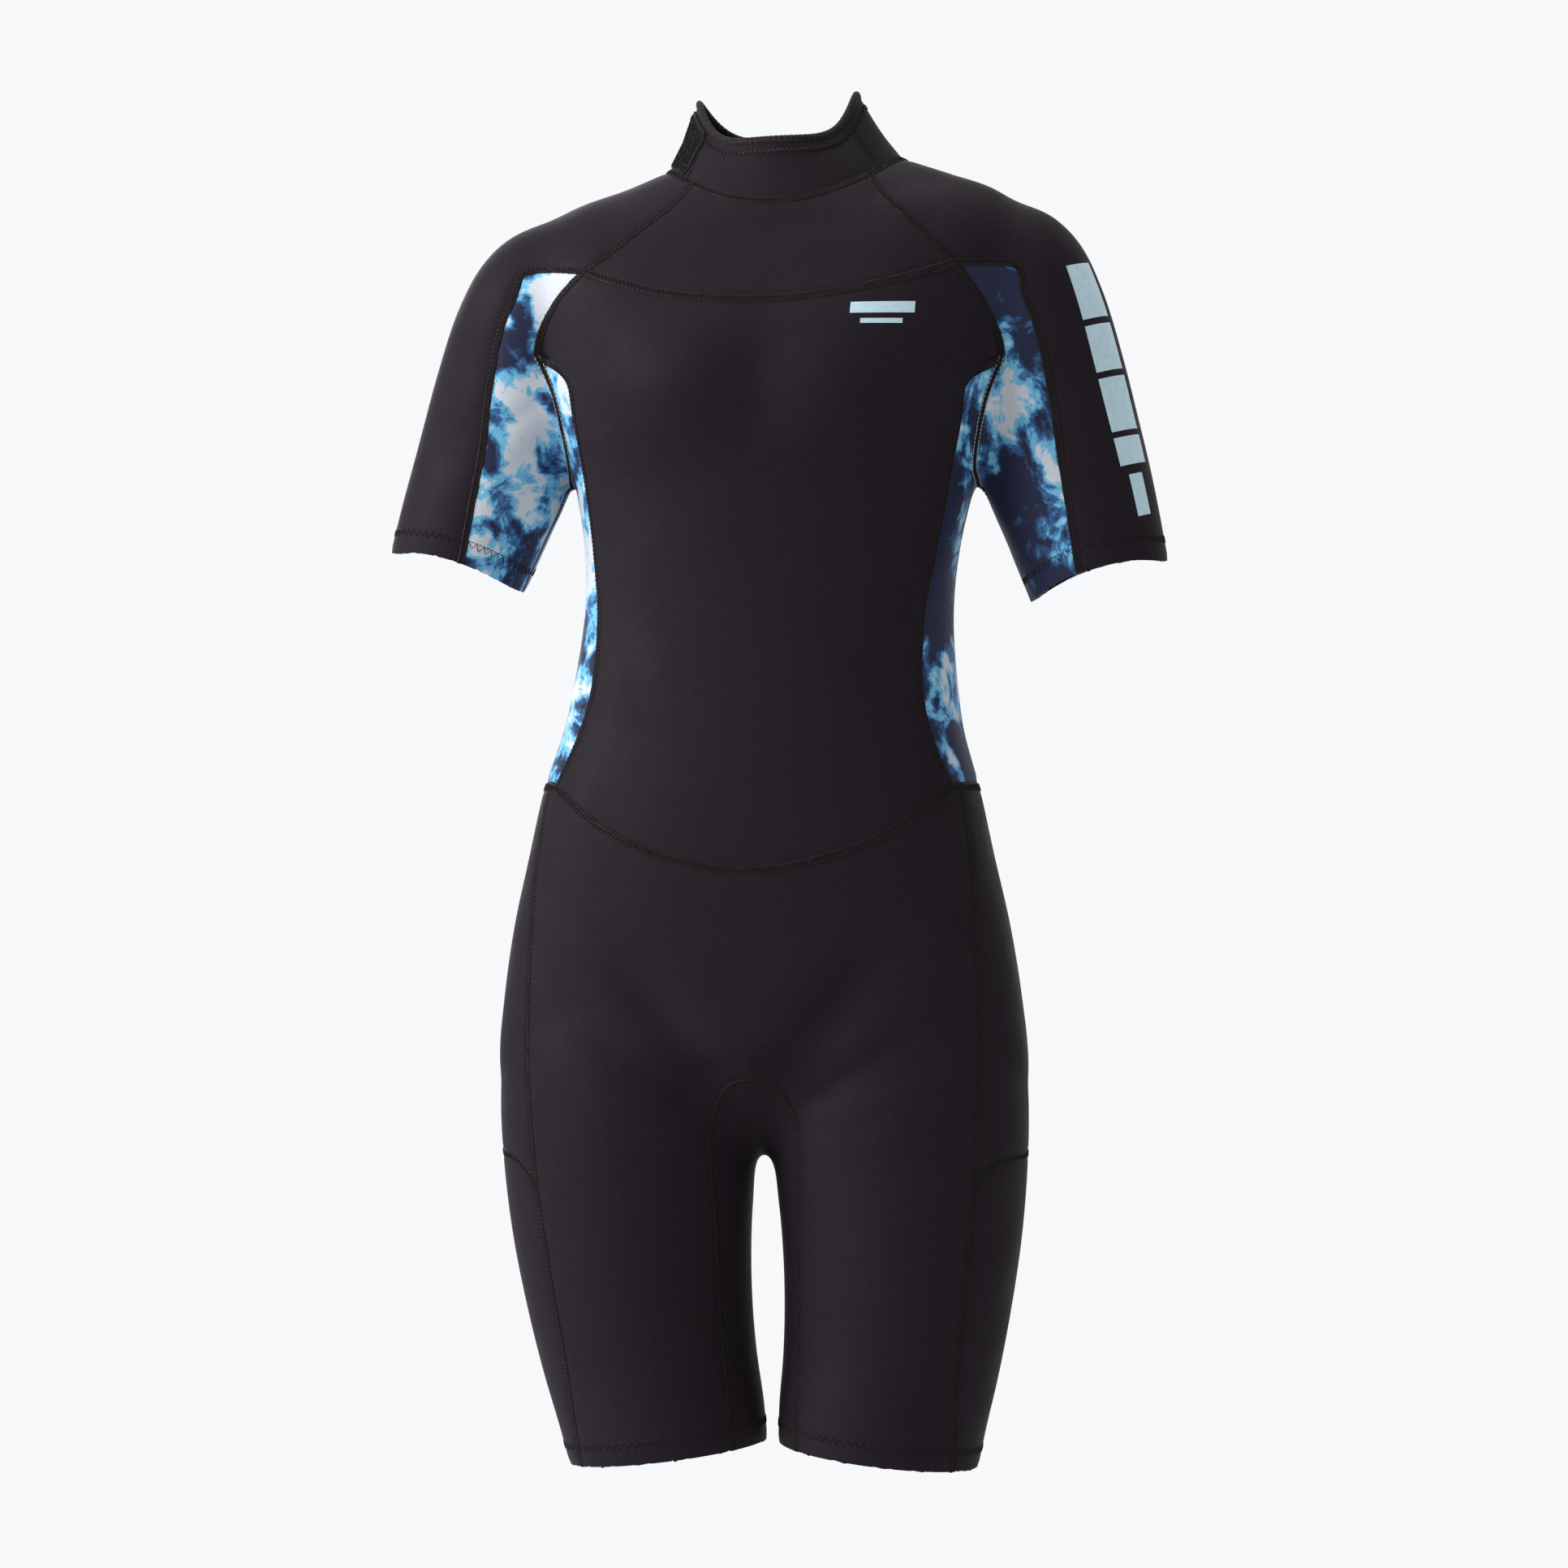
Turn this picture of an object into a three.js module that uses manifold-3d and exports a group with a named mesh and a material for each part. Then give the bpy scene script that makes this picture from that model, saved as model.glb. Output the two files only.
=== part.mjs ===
// A shorty wetsuit on an unseen body: short sleeves, short legs, a stand-up collar and a zip down the back.
// Millimetres, +Z up. The chest faces -Y, and +X is the wearer's left.
// Heights are counted from the waist line, where the top and the shorts are sewn together.
import * as THREE from 'three';
import { mergeVertices } from 'three/addons/utils/BufferGeometryUtils.js';
import Module from 'manifold-3d';

const wasm = await Module();
wasm.setup();

// ---- Driving dimensions ----

const CLOTH = 3; // thickness of the neoprene
const SEAM_GAP = 0.4; // gap between two panels that are glued and stitched together
const RING_SIDES = 24; // facets round the body
const LIMB_SIDES = 16; // facets round a sleeve or a leg
const REACH = 400; // how far a cutting shape runs past the suit
const SLIVER = 0.08; // facets thinner than this are merged into their neighbours

// The zip follows a slightly hollow arc down the centre back.
const ZIP_TOP = { height: 370, depth: 86 };
const ZIP_END = { height: 45, depth: 84 };
const ZIP_HOLLOW = 6.5; // how far the arc dips in towards the body
const ZIP_SLOT = 6.5; // half the width between the back panels
const SLIDER_HEIGHT = 356; // middle of the slider when the zip is closed

const SLEEVE_HEM = { x: 208, height: 142 }; // middle of the cuff
const SLEEVE_SWING = THREE.MathUtils.degToRad(16.5); // the arm's angle from vertical
const SLEEVE_DEPTH_SHIFT = 3; // the arm hangs a little behind the middle of the body
const HEM_SCOOP = 4.5; // the cuff is cut higher in front and behind by twice this
const HEM_TAPE = 13; // width of the tape inside each hem
const TAPE_THICKNESS = 1;

// Strips on the collar: degrees round the neck from the wearer's left, shares of the collar's height,
// and distances outside the collar's outer face.
const COLLAR_SHARES = [0.05, 0.88]; // from above the neck seam to under the binding
const COLLAR_SEAM = 35; // the front piece ends this many degrees in front of each side
const CENTRE_BACK = [88, 92]; // the collar is open between these
const LOOP_PATCH = { angles: [128, 213], shares: [0.1, 0.86], outward: [0.8, 2] };
const FLAP_HINGE_ANGLE = 12; // where the flap is sewn on
const FLAP = { angles: [FLAP_HINGE_ANGLE + 2, 158], shares: [0.12, 0.86], outward: [4, 7] };
const HOOK = { angles: [130, 156], shares: [0.2, 0.8], outward: [2.5, 3.5] };
const BINDING = { share: 0.965, halfThickness: 1.7, halfHeight: 2.5, sides: 8 };

// Strips along the zip: distances from its middle, and depths under the back's outer face.
const ZIP_TAPE = { x: [0.3, 16], depths: [4.9, 5.7] };
const ZIP_COIL = { x: [0.2, 2.6], depths: [1, 4.6] };
const ZIP_STOP = { x: [-3.2, 3.2], depths: [0.4, 4.6], length: 4.5 };
const BACKING_FLAP = { x: [-26, 26], depths: [6.6, 9.1] };
const END_PATCH = { x: [-11, 11], depths: [-1.8, -0.7], length: 21 };

// The slider, and the puller whose eye goes through its bridge.
const SLIDER = { width: 10, length: 18, thickness: 2.4, lift: 0.6 };
const BRIDGE = { width: 3.2, length: 14, height: 4.2 };
const WINDOW = { length: 8, height: 2.2, lift: 0.6 };
const PULLER = { width: 9, length: 44, thickness: 1.4, eye: 5.2, eyeLength: 13, top: 0.7 };

// The wearer stands with a slight lean: the hips to one side, one shoulder a little higher.
const HIP_SHIFT = -5;
const TORSO_LEAN = 0.046; // sideways shift for each unit of height
const LEG_RETURN = 8; // the shift that the leg hems make back again
const NECK_RETURN = 0.13; // the neck comes back upright above the shoulders
const SHOULDER_TILT = 0.044;

// ---- The body inside, as rings from the crotch up to the collar ----

/** A ring that lies level. */
function level(height, halfWidth, front, back, power) {
  return { side: [halfWidth, height], front: [front, height], back: [back, height], power };
}

/** Depth of the centre back behind the middle of the body, along the zip. */
function zipDepth(height) {
  const span = ZIP_TOP.height - ZIP_END.height;
  const share = (height - ZIP_END.height) / span;
  const chord = ZIP_END.depth + (ZIP_TOP.depth - ZIP_END.depth) * share;
  return chord - 4 * ZIP_HOLLOW * share * (1 - share);
}

const NECK_SEAM = { side: [76, 411], front: [70, 381], back: [67, 398], power: 2.1 };
const COLLAR_MIDDLE = { side: [64.5, 429], front: [63, 402], back: [61, 416], power: 2.05 };
const COLLAR_EDGE = { side: [52.5, 455], front: [58, 422], back: [58, 434], power: 2 };

const TORSO = [
  level(-226, 168, 68, 78, 2.2),
  level(-208, 172, 80, 98, 2.3),
  level(-175, 173, 88, 110, 2.4),
  level(-130, 169, 92, 112, 2.4),
  level(-85, 162, 95, 106, 2.4),
  level(-40, 152, 96, 97, 2.4),
  level(5, 142, 94, 88, 2.35),
  level(45, 130, 91, zipDepth(45), 2.3),
  level(80, 124, 88, zipDepth(80), 2.3),
  level(117, 120.5, 87, zipDepth(117), 2.3),
  level(160, 122.5, 89, zipDepth(160), 2.3),
  level(200, 130, 97, zipDepth(200), 2.35),
  level(235, 139, 109, zipDepth(235), 2.4),
  level(265, 148, 117, zipDepth(265), 2.4),
  level(295, 154, 112, zipDepth(295), 2.4),
  { side: [160, 322], front: [103, 315], back: [zipDepth(318), 318], power: 2.45 },
  { side: [165, 345], front: [94, 333], back: [zipDepth(338), 338], power: 2.5 },
  { side: [162, 366], front: [86, 349], back: [zipDepth(355), 355], power: 2.5 },
  { side: [143, 385], front: [79, 362], back: [zipDepth(370), 370], power: 2.4 },
  { side: [107, 399], front: [74, 373], back: [80, 386], power: 2.2 },
  NECK_SEAM,
];

// Leg rings: middle, half width, depth in front and behind, and how far the ring leans in.
const LEG = [
  { x: 88, height: -150, halfWidth: 82, front: 80, back: 96, lean: 0 },
  { x: 89, height: -200, halfWidth: 84, front: 84, back: 95, lean: 0 },
  { x: 89, height: -244, halfWidth: 82.3, front: 81, back: 88, lean: 0 },
  { x: 88.4, height: -286, halfWidth: 78.2, front: 78, back: 83, lean: 2 },
  { x: 85, height: -328, halfWidth: 74, front: 75, back: 79, lean: 4 },
  { x: 79, height: -371, halfWidth: 70.2, front: 72, back: 75.5, lean: 6 },
  { x: 72.5, height: -405, halfWidth: 67.5, front: 71, back: 73, lean: 7 },
  { x: 69, height: -428.5, halfWidth: 65.5, front: 70, back: 72, lean: 7 },
];

// Sleeve rings, from the cuff up to the rounded shoulder: distance along the arm and half sizes.
const SLEEVE = [
  { along: 0, halfWidth: 46.5, halfDepth: 50 },
  { along: 40, halfWidth: 50.3, halfDepth: 54 },
  { along: 83, halfWidth: 53, halfDepth: 57 },
  { along: 128, halfWidth: 54.5, halfDepth: 60 },
  { along: 172, halfWidth: 53, halfDepth: 62 },
  { along: 200, halfWidth: 48.5, halfDepth: 60 },
  { along: 220, halfWidth: 40, halfDepth: 52 },
  { along: 235, halfWidth: 27, halfDepth: 38 },
  { along: 243, halfWidth: 10, halfDepth: 15 },
];

// ---- Seam lines on the wearer's left, as [x, height] seen from in front or from behind ----

const RAGLAN_FRONT = [[50, 430], [60.7, 391.7], [88, 364], [118.6, 335]];
const RAGLAN_BACK = [[38, 430], [46, 398], [70, 370], [112, 330]];
const CHEST = [[0, 315], [45, 318], [85, 325.5], [118.6, 335]];
const ARM_FRONT = [[118.6, 335], [136, 312], [146, 292], [149, 279]];
const ARM_BACK = [[112, 330], [130, 300], [141, 262]];
const ARMPIT_FRONT = [[149, 279], [140, 258], [135, 235], [132, 212], [134, 195], [140, 110]];
const ARMPIT_BACK = [[141, 262], [136, 235], [132, 212], [134, 195], [140, 110]];
const SIDE_FRONT = [[149, 279], [128, 264], [124, 239], [117, 198], [109, 146], [105, 115], [105.7, 73], [111, 47],
  [120, 23.5], [129, 5]];
const SIDE_BACK = [[141, 262], [112, 250], [104, 198], [93, 130], [92, 95], [101, 62], [117, 36], [131, 22],
  [170, 22]];
const SIDE_POINT = [[129, 5], [130, 14], [132, 22], [170, 22]];
const WAIST_FRONT = [[0, -48], [45, -38], [90, -18], [129, 5]];
const WAIST_BACK = [[0, -12], [60, -8], [128, 5]];
const WAIST_SIDE = [[127, 5], [200, 5]];
const PRINT_FRONT = [[118.6, 335], [156, 334], [163, 316], [173, 291], [181, 255], [185, 225], [189, 200],
  [193, 175], [203, 110]];
const PRINT_BACK = [[112, 330], [150, 318], [172, 280], [183, 235], [190, 190], [203, 110]];
const HIP_SEAM_FRONT = [[134, 5], [141, -42], [146, -115], [147, -167], [145, -209], [142, -253]];
const HIP_SEAM_BACK = [[128, 5], [129, -60], [132, -130], [132, -209], [130, -253]];
const THIGH_SEAM_FRONT = [[142, -253], [136, -303], [127, -371], [118, -470]];
const THIGH_SEAM_BACK = [[130, -253], [126, -303], [118, -371], [110, -470]];
const THIGH_ARC_FRONT = [[142, -253], [150, -241], [162, -234], [200, -231]];
const THIGH_ARC_BACK = [[130, -253], [142, -241], [160, -234], [200, -231]];
const GUSSET_FRONT = [[0, -183], [14, -187], [24, -203], [28, -222], [26, -270], [25, -333], [20, -415], [18, -470]];
const GUSSET_BACK = [[0, -196], [12, -199], [22, -212], [27, -232], [26, -270], [25, -333], [20, -415], [18, -470]];

// ---- Materials ----

/** A plain material in one colour. */
function material(color, roughness, metalness = 0) {
  return new THREE.MeshStandardMaterial({ color, roughness, metalness });
}

const FINISH = {
  neoprene: () => material(0x25202a, 0.85),
  print: () => material(0x6aa6c8, 0.8),
  binding: () => material(0x2c2528, 0.75),
  loop: () => material(0x17161a, 0.95),
  tape: () => material(0x1b1a1d, 0.9),
  coil: () => material(0x101012, 0.5),
  metal: () => material(0x8d9096, 0.35, 0.9),
};

// ---- Solids ----

/** The triangles of a closed geometry as a solid that can be cut and joined. */
function solidOf(geometry) {
  const bare = geometry.clone();
  bare.deleteAttribute('normal');
  bare.deleteAttribute('uv');
  const merged = mergeVertices(bare, 1e-4);
  return new wasm.Manifold(new wasm.Mesh({
    numProp: 3,
    vertProperties: new Float32Array(merged.attributes.position.array),
    triVerts: new Uint32Array(merged.index.array),
  }));
}

/** A solid's triangles as a geometry, without the slivers that cuts leave behind. */
function geometryOf(solid) {
  const mesh = solid.asOriginal().simplify(SLIVER).getMesh();
  const geometry = new THREE.BufferGeometry();
  geometry.setAttribute('position', new THREE.BufferAttribute(new Float32Array(mesh.vertProperties), 3));
  geometry.setIndex(new THREE.BufferAttribute(new Uint32Array(mesh.triVerts), 1));
  return geometry;
}

/** The same shape on the wearer's right. */
function mirrored(geometry) {
  const copy = geometry.clone().scale(-1, 1, 1);
  const index = copy.index.array;
  for (let i = 0; i < index.length; i += 3) {
    [index[i + 1], index[i + 2]] = [index[i + 2], index[i + 1]];
  }
  return copy;
}

/** A closed skin through rings of points, pulled in along its own normals by inset. */
function loft(rings, inset) {
  const sides = rings[0].length;
  const points = rings.flat();
  const faces = [];
  for (let r = 0; r + 1 < rings.length; r += 1) {
    for (let i = 0; i < sides; i += 1) {
      const a = r * sides + i;
      const b = r * sides + (i + 1) % sides;
      faces.push(a, b, b + sides, a, b + sides, a + sides);
    }
  }
  const geometry = new THREE.BufferGeometry().setFromPoints(points);
  geometry.setIndex(faces);
  geometry.computeVertexNormals();
  const normal = new THREE.Vector3();
  const moved = points.map((point, i) => {
    normal.fromBufferAttribute(geometry.attributes.normal, i);
    return point.clone().addScaledVector(normal, -inset);
  });
  const last = points.length - sides;
  const middle = (from) => moved.slice(from, from + sides).reduce((sum, p) => sum.add(p), new THREE.Vector3())
    .divideScalar(sides);
  moved.push(middle(0), middle(last));
  for (let i = 0; i < sides; i += 1) {
    const next = (i + 1) % sides;
    faces.push(points.length, next, i);
    faces.push(points.length + 1, last + i, last + next);
  }
  const closed = new THREE.BufferGeometry().setFromPoints(moved);
  closed.setIndex(faces);
  return closed;
}

/** A point on a body ring. The wearer's left is at angle 0 and the chest at -90 degrees. */
function ringPoint(row, angle) {
  const across = Math.cos(angle);
  const along = Math.sin(angle);
  const swell = (value) => Math.sign(value) * Math.abs(value) ** (2 / row.power);
  const [depth, height] = along < 0 ? row.front : row.back;
  return new THREE.Vector3(
    row.side[0] * swell(across),
    depth * swell(along),
    row.side[1] * across ** 2 + height * along ** 2,
  );
}

/** Points round a ring, one for each facet. */
function round(sides, pointAt) {
  return Array.from({ length: sides }, (_, i) => pointAt((2 * Math.PI * i) / sides));
}

/** The torso, up to the neck seam. The inner one has a floor at the crotch and runs on past the neck. */
function torso(inset) {
  const rows = inset > 0 ? [...TORSO, COLLAR_MIDDLE] : TORSO;
  const rings = rows.map((row) => round(RING_SIDES, (angle) => ringPoint(row, angle)));
  rings[0].forEach((point) => { point.z += inset; });
  return loft(rings, inset);
}

/** A point on a leg ring, leaning in by the ring's own angle. */
function legPoint(row, angle) {
  const lean = THREE.MathUtils.degToRad(row.lean);
  const across = row.halfWidth * Math.cos(angle);
  const depth = (Math.sin(angle) < 0 ? row.front : row.back) * Math.sin(angle);
  return new THREE.Vector3(
    row.x + across * Math.cos(lean),
    depth,
    row.height - across * Math.sin(lean),
  );
}

/** The wearer's left leg. The inner one runs on past the hem. */
function leg(inset) {
  const rows = [...LEG].reverse();
  if (inset > 0) {
    const past = 20;
    const hem = rows[0];
    rows.unshift({ ...hem, x: hem.x - 0.12 * past, height: hem.height - past });
  }
  return loft(rows.map((row) => round(LIMB_SIDES, (angle) => legPoint(row, angle))), inset);
}

/** A point on the wearer's left sleeve. */
function sleevePoint(row, angle) {
  const across = row.halfWidth * Math.cos(angle);
  const scoop = row.along < 1 ? HEM_SCOOP * (1 - Math.cos(2 * angle)) : 0;
  const along = row.along + scoop;
  return new THREE.Vector3(
    SLEEVE_HEM.x - along * Math.sin(SLEEVE_SWING) + across * Math.cos(SLEEVE_SWING),
    SLEEVE_DEPTH_SHIFT + row.halfDepth * Math.sin(angle),
    SLEEVE_HEM.height + along * Math.cos(SLEEVE_SWING) + across * Math.sin(SLEEVE_SWING),
  );
}

/** The wearer's left sleeve. The inner one runs on past the cuff. */
function sleeve(inset) {
  const rows = inset > 0 ? [{ ...SLEEVE[0], along: -25 }, ...SLEEVE] : SLEEVE;
  return loft(rows.map((row) => round(LIMB_SIDES, (angle) => sleevePoint(row, angle))), inset);
}

/** The whole body as one solid. */
function body(inset) {
  const limbs = [leg(inset), sleeve(inset)];
  return [...limbs, ...limbs.map(mirrored)].reduce(
    (whole, limb) => whole.add(solidOf(limb)),
    solidOf(torso(inset)),
  );
}

// ---- Cutting shapes ----

const OVERLAP = 0.02; // front and back halves share this much, so that they join
const IN_FRONT = [-REACH, OVERLAP];
const BEHIND = [-OVERLAP, REACH];

/** An outline, seen from in front, pushed through the suit from one depth to another. */
function through(outline, [from, to]) {
  const corners = outline.map(([x, z]) => new THREE.Vector2(x, z));
  const apart = corners.filter((corner, i) => corner.distanceTo(corners.at(i - 1)) > 0.01);
  const shape = new THREE.Shape(apart);
  const geometry = new THREE.ExtrudeGeometry(shape, { depth: to - from, bevelEnabled: false, steps: 1 });
  return solidOf(geometry.rotateX(Math.PI / 2).translate(0, to, 0));
}

/** A smooth line through a few seam points. */
function smooth(points) {
  if (points.length < 3) return points;
  const curve = new THREE.SplineCurve(points.map(([x, z]) => new THREE.Vector2(x, z)));
  return curve.getPoints((points.length - 1) * 2).map((p) => [p.x, p.y]);
}

/** The same line walked the other way. */
function back(line) {
  return [...line].reverse();
}

/** The same line on the wearer's right. */
function flip(line) {
  return line.map(([x, z]) => [-x, z]);
}

/** A line and its copy on the wearer's right, as one line from right to left. */
function whole(line) {
  return [...back(flip(line)), ...line];
}

/** The outline of the gap that a seam leaves. */
function gapAlong(line) {
  const sides = [[], []];
  line.forEach(([x, z], i) => {
    const [ax, az] = line[Math.max(i - 1, 0)];
    const [bx, bz] = line[Math.min(i + 1, line.length - 1)];
    const scale = SEAM_GAP / 2 / Math.hypot(bx - ax, bz - az);
    const [nx, nz] = [(az - bz) * scale, (bx - ax) * scale];
    sides[0].push([x + nx, z + nz]);
    sides[1].push([x - nx, z - nz]);
  });
  return [...sides[0], ...back(sides[1])];
}

// ---- The stance: a small lean that every cloth piece shares ----

/** How far the middle of the body stands to one side at a height. */
function sideShift(height) {
  const hip = -20;
  const waist = 40;
  const shoulder = 400;
  if (height < hip) return HIP_SHIFT + LEG_RETURN * ((height - hip) / 421) ** 2;
  const straight = (z) => HIP_SHIFT + TORSO_LEAN * (z - (hip + waist) / 2);
  if (height < waist) return HIP_SHIFT + (TORSO_LEAN * (height - hip) ** 2) / (2 * (waist - hip));
  if (height < shoulder) return straight(height);
  return straight(shoulder) - NECK_RETURN * (height - shoulder);
}

/** Leans one point, in place. */
function lean(point) {
  const tilt = SHOULDER_TILT * THREE.MathUtils.smoothstep(point.z, 240, 360);
  const x = point.x;
  point.x += sideShift(point.z);
  point.z += tilt * x;
  return point;
}

const suit = new THREE.Group();
suit.name = 'wetsuit';

/** Adds a finished piece. */
function add(name, geometry, finish, parent = suit) {
  geometry.computeVertexNormals();
  const mesh = new THREE.Mesh(geometry, finish());
  mesh.name = name;
  parent.add(mesh);
  return mesh;
}

/** Leans a cloth piece with the body and adds it. */
function addCloth(name, geometry, finish) {
  const point = new THREE.Vector3();
  const places = geometry.attributes.position;
  for (let i = 0; i < places.count; i += 1) {
    const moved = lean(point.fromBufferAttribute(places, i));
    places.setXYZ(i, moved.x, moved.y, moved.z);
  }
  add(name, geometryOf(solidOf(geometry)), finish);
}

/** Adds a piece on the wearer's left and its copy on the right. */
function addPair(name, geometry, finish) {
  const copy = mirrored(geometry);
  addCloth(`${name}_left`, geometry, finish);
  addCloth(`${name}_right`, copy, finish);
}

// ---- The body panels, cut from one skin ----

const LINES = Object.fromEntries(Object.entries({
  raglanFront: RAGLAN_FRONT,
  raglanBack: RAGLAN_BACK,
  chest: CHEST,
  armFront: ARM_FRONT,
  armBack: ARM_BACK,
  armpitFront: ARMPIT_FRONT,
  armpitBack: ARMPIT_BACK,
  sideFront: SIDE_FRONT,
  sideBack: SIDE_BACK,
  sidePoint: SIDE_POINT,
  waistFront: WAIST_FRONT,
  waistBack: WAIST_BACK,
  waistSide: WAIST_SIDE,
  printFront: PRINT_FRONT,
  printBack: PRINT_BACK,
  hipFront: HIP_SEAM_FRONT,
  hipBack: HIP_SEAM_BACK,
  thighFront: THIGH_SEAM_FRONT,
  thighBack: THIGH_SEAM_BACK,
  arcFront: THIGH_ARC_FRONT,
  arcBack: THIGH_ARC_BACK,
  gussetFront: GUSSET_FRONT,
  gussetBack: GUSSET_BACK,
}).map(([name, points]) => [name, smooth(points)]));

const FRONT_SEAMS = ['raglanFront', 'chest', 'armFront', 'armpitFront', 'sideFront', 'sidePoint', 'waistFront',
  'waistSide', 'printFront', 'hipFront', 'thighFront', 'arcFront', 'gussetFront'];
const BACK_SEAMS = ['raglanBack', 'armBack', 'armpitBack', 'sideBack', 'waistBack', 'waistSide', 'printBack',
  'hipBack', 'thighBack', 'arcBack', 'gussetBack'];

/** The suit's skin with the gap of every seam cut through it. */
function seamedSkin() {
  let skin = body(0).subtract(body(CLOTH));
  const cut = (outline, depths) => {
    skin = skin.subtract(through(outline, depths));
  };
  const past = 0.5;
  [[FRONT_SEAMS, [-REACH, past]], [BACK_SEAMS, [-past, REACH]]].forEach(([names, depths]) => {
    names.forEach((name) => {
      const gap = gapAlong(LINES[name]);
      cut(gap, depths);
      cut(back(flip(gap)), depths);
    });
  });
  const underarm = [[120, 100], [172, 100], [150, 240], [120, 240]];
  const hairline = [-SEAM_GAP / 2, SEAM_GAP / 2];
  cut(underarm, hairline);
  cut(back(flip(underarm)), hairline);
  const slot = (half, low, high) => [[-half, low], [half, low], [half, high], [-half, high]];
  cut(slot(ZIP_SLOT, ZIP_END.height, ZIP_TOP.height + 4), BEHIND);
  cut(slot(1, ZIP_TOP.height, 500), BEHIND);
  cut(slot(SEAM_GAP / 2, -230, ZIP_END.height + 1), BEHIND);
  return skin;
}

const SKIN = seamedSkin();

/** The part of the skin that is inside one outline in front and another behind. */
function panel(inFront, behind) {
  const halves = [];
  if (inFront) halves.push(SKIN.intersect(through(inFront, IN_FRONT)));
  if (behind) halves.push(SKIN.intersect(through(behind, BEHIND)));
  return geometryOf(halves.length === 1 ? halves[0] : halves[0].add(halves[1]));
}

/** The torso's front: yoke and torso panel. */
function addFront() {
  const { chest, raglanFront, armFront, sideFront, waistFront } = LINES;
  addCloth('chest_yoke', panel([
    ...whole(chest), ...back(raglanFront), [50, 500], [-50, 500], ...flip(raglanFront),
  ]), FINISH.neoprene);
  const edge = [...armFront, ...sideFront];
  addCloth('front_torso_panel', panel([
    ...whole(chest), ...edge, ...back(whole(waistFront)), ...back(flip(edge)),
  ]), FINISH.neoprene);
}

/** The printed side panels, which run from the armpit to a point at the waist. */
function addSides() {
  const { armpitFront, armpitBack, sideFront, sideBack, sidePoint } = LINES;
  addPair('side_panel', panel(
    [...back(armpitFront), ...sideFront, ...sidePoint],
    [...back(armpitBack), ...sideBack],
  ), FINISH.print);
}

/** The back panels, one each side of the zip. */
function addBack() {
  const { raglanBack, armBack, sideBack, sidePoint, waistBack } = LINES;
  addPair('back_panel', panel(
    [...sidePoint, [220, 22], [220, 5]],
    [[0, 500], [38, 500], ...raglanBack, ...armBack, ...sideBack, [220, 22], [220, 5], ...back(waistBack)],
  ), FINISH.neoprene);
}

/** The sleeves: a black raglan piece over the shoulder and printed pieces under the arm. */
function addSleeves() {
  const { raglanFront, raglanBack, armFront, armBack, armpitFront, armpitBack, printFront, printBack } = LINES;
  const past = [[203, 80], [REACH, 80], [REACH, 500]];
  addPair('raglan_sleeve', panel(
    [[50, 500], ...raglanFront, ...printFront, ...past],
    [[38, 500], ...raglanBack, ...printBack, ...past],
  ), FINISH.neoprene);
  addPair('sleeve_print_front', panel([...back(printFront), ...armFront, ...armpitFront, [140, 80], [203, 80]], null),
    FINISH.print);
  addPair('sleeve_print_back', panel(null, [...back(printBack), ...armBack, ...armpitBack, [140, 80], [203, 80]]),
    FINISH.print);
}

/** The shorts: front, seat, hip and thigh sides, and the gusset down the inner legs. */
function addShorts() {
  const { waistFront, waistBack, hipFront, hipBack, thighFront, thighBack, arcFront, arcBack } = LINES;
  const { gussetFront, gussetBack } = LINES;
  const frontEdge = [...hipFront, ...thighFront];
  const backEdge = [...hipBack, ...thighBack];
  addCloth('shorts_front', panel([
    ...whole(waistFront), ...frontEdge, ...back(whole(gussetFront)), ...back(flip(frontEdge)),
  ]), FINISH.neoprene);
  addPair('seat_panel', panel(null, [...waistBack, ...backEdge, ...back(gussetBack)]), FINISH.neoprene);
  addPair('hip_side', panel(
    [...hipFront, ...arcFront, [200, 5]],
    [...hipBack, ...arcBack, [200, 5]],
  ), FINISH.neoprene);
  addPair('thigh_side', panel(
    [...back(thighFront), ...arcFront, [200, -470]],
    [...back(thighBack), ...arcBack, [200, -470]],
  ), FINISH.neoprene);
  addCloth('crotch_gusset', panel(whole(gussetFront), whole(gussetBack)), FINISH.neoprene);
}

// ---- Pieces laid on a surface ----

/** A closed block whose corners are moved by place(u, v, w), each from 0 to 1. */
function block(uSteps, vSteps, place) {
  const box = new THREE.BoxGeometry(1, 1, 1, uSteps, vSteps, 1).translate(0.5, 0.5, 0.5);
  box.deleteAttribute('normal');
  box.deleteAttribute('uv');
  const geometry = mergeVertices(box, 1e-6);
  const places = geometry.attributes.position;
  for (let i = 0; i < places.count; i += 1) {
    const point = place(places.getX(i), places.getY(i), places.getZ(i));
    places.setXYZ(i, point.x, point.y, point.z);
  }
  return geometry;
}

const between = THREE.MathUtils.lerp;

/** A point on the collar: angle in degrees round the neck, share of its height, and distance outside its cloth. */
function collarPoint(degrees, share, outward) {
  const angle = THREE.MathUtils.degToRad(degrees);
  const low = share < 0.5;
  const [from, to] = low ? [NECK_SEAM, COLLAR_MIDDLE] : [COLLAR_MIDDLE, COLLAR_EDGE];
  const point = ringPoint(from, angle).lerp(ringPoint(to, angle), low ? share * 2 : share * 2 - 1);
  point.x += outward * Math.cos(angle);
  point.y += outward * Math.sin(angle);
  return point;
}

/** A strip that follows the collar, between two angles, two shares of its height and two distances outward. */
function collarStrip(angles, shares, outward) {
  const steps = Math.max(2, Math.round(Math.abs(angles[1] - angles[0]) / 14));
  return block(steps, 2, (u, v, w) => collarPoint(
    between(...angles, u),
    between(...shares, v),
    between(...outward, w),
  ));
}

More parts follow.
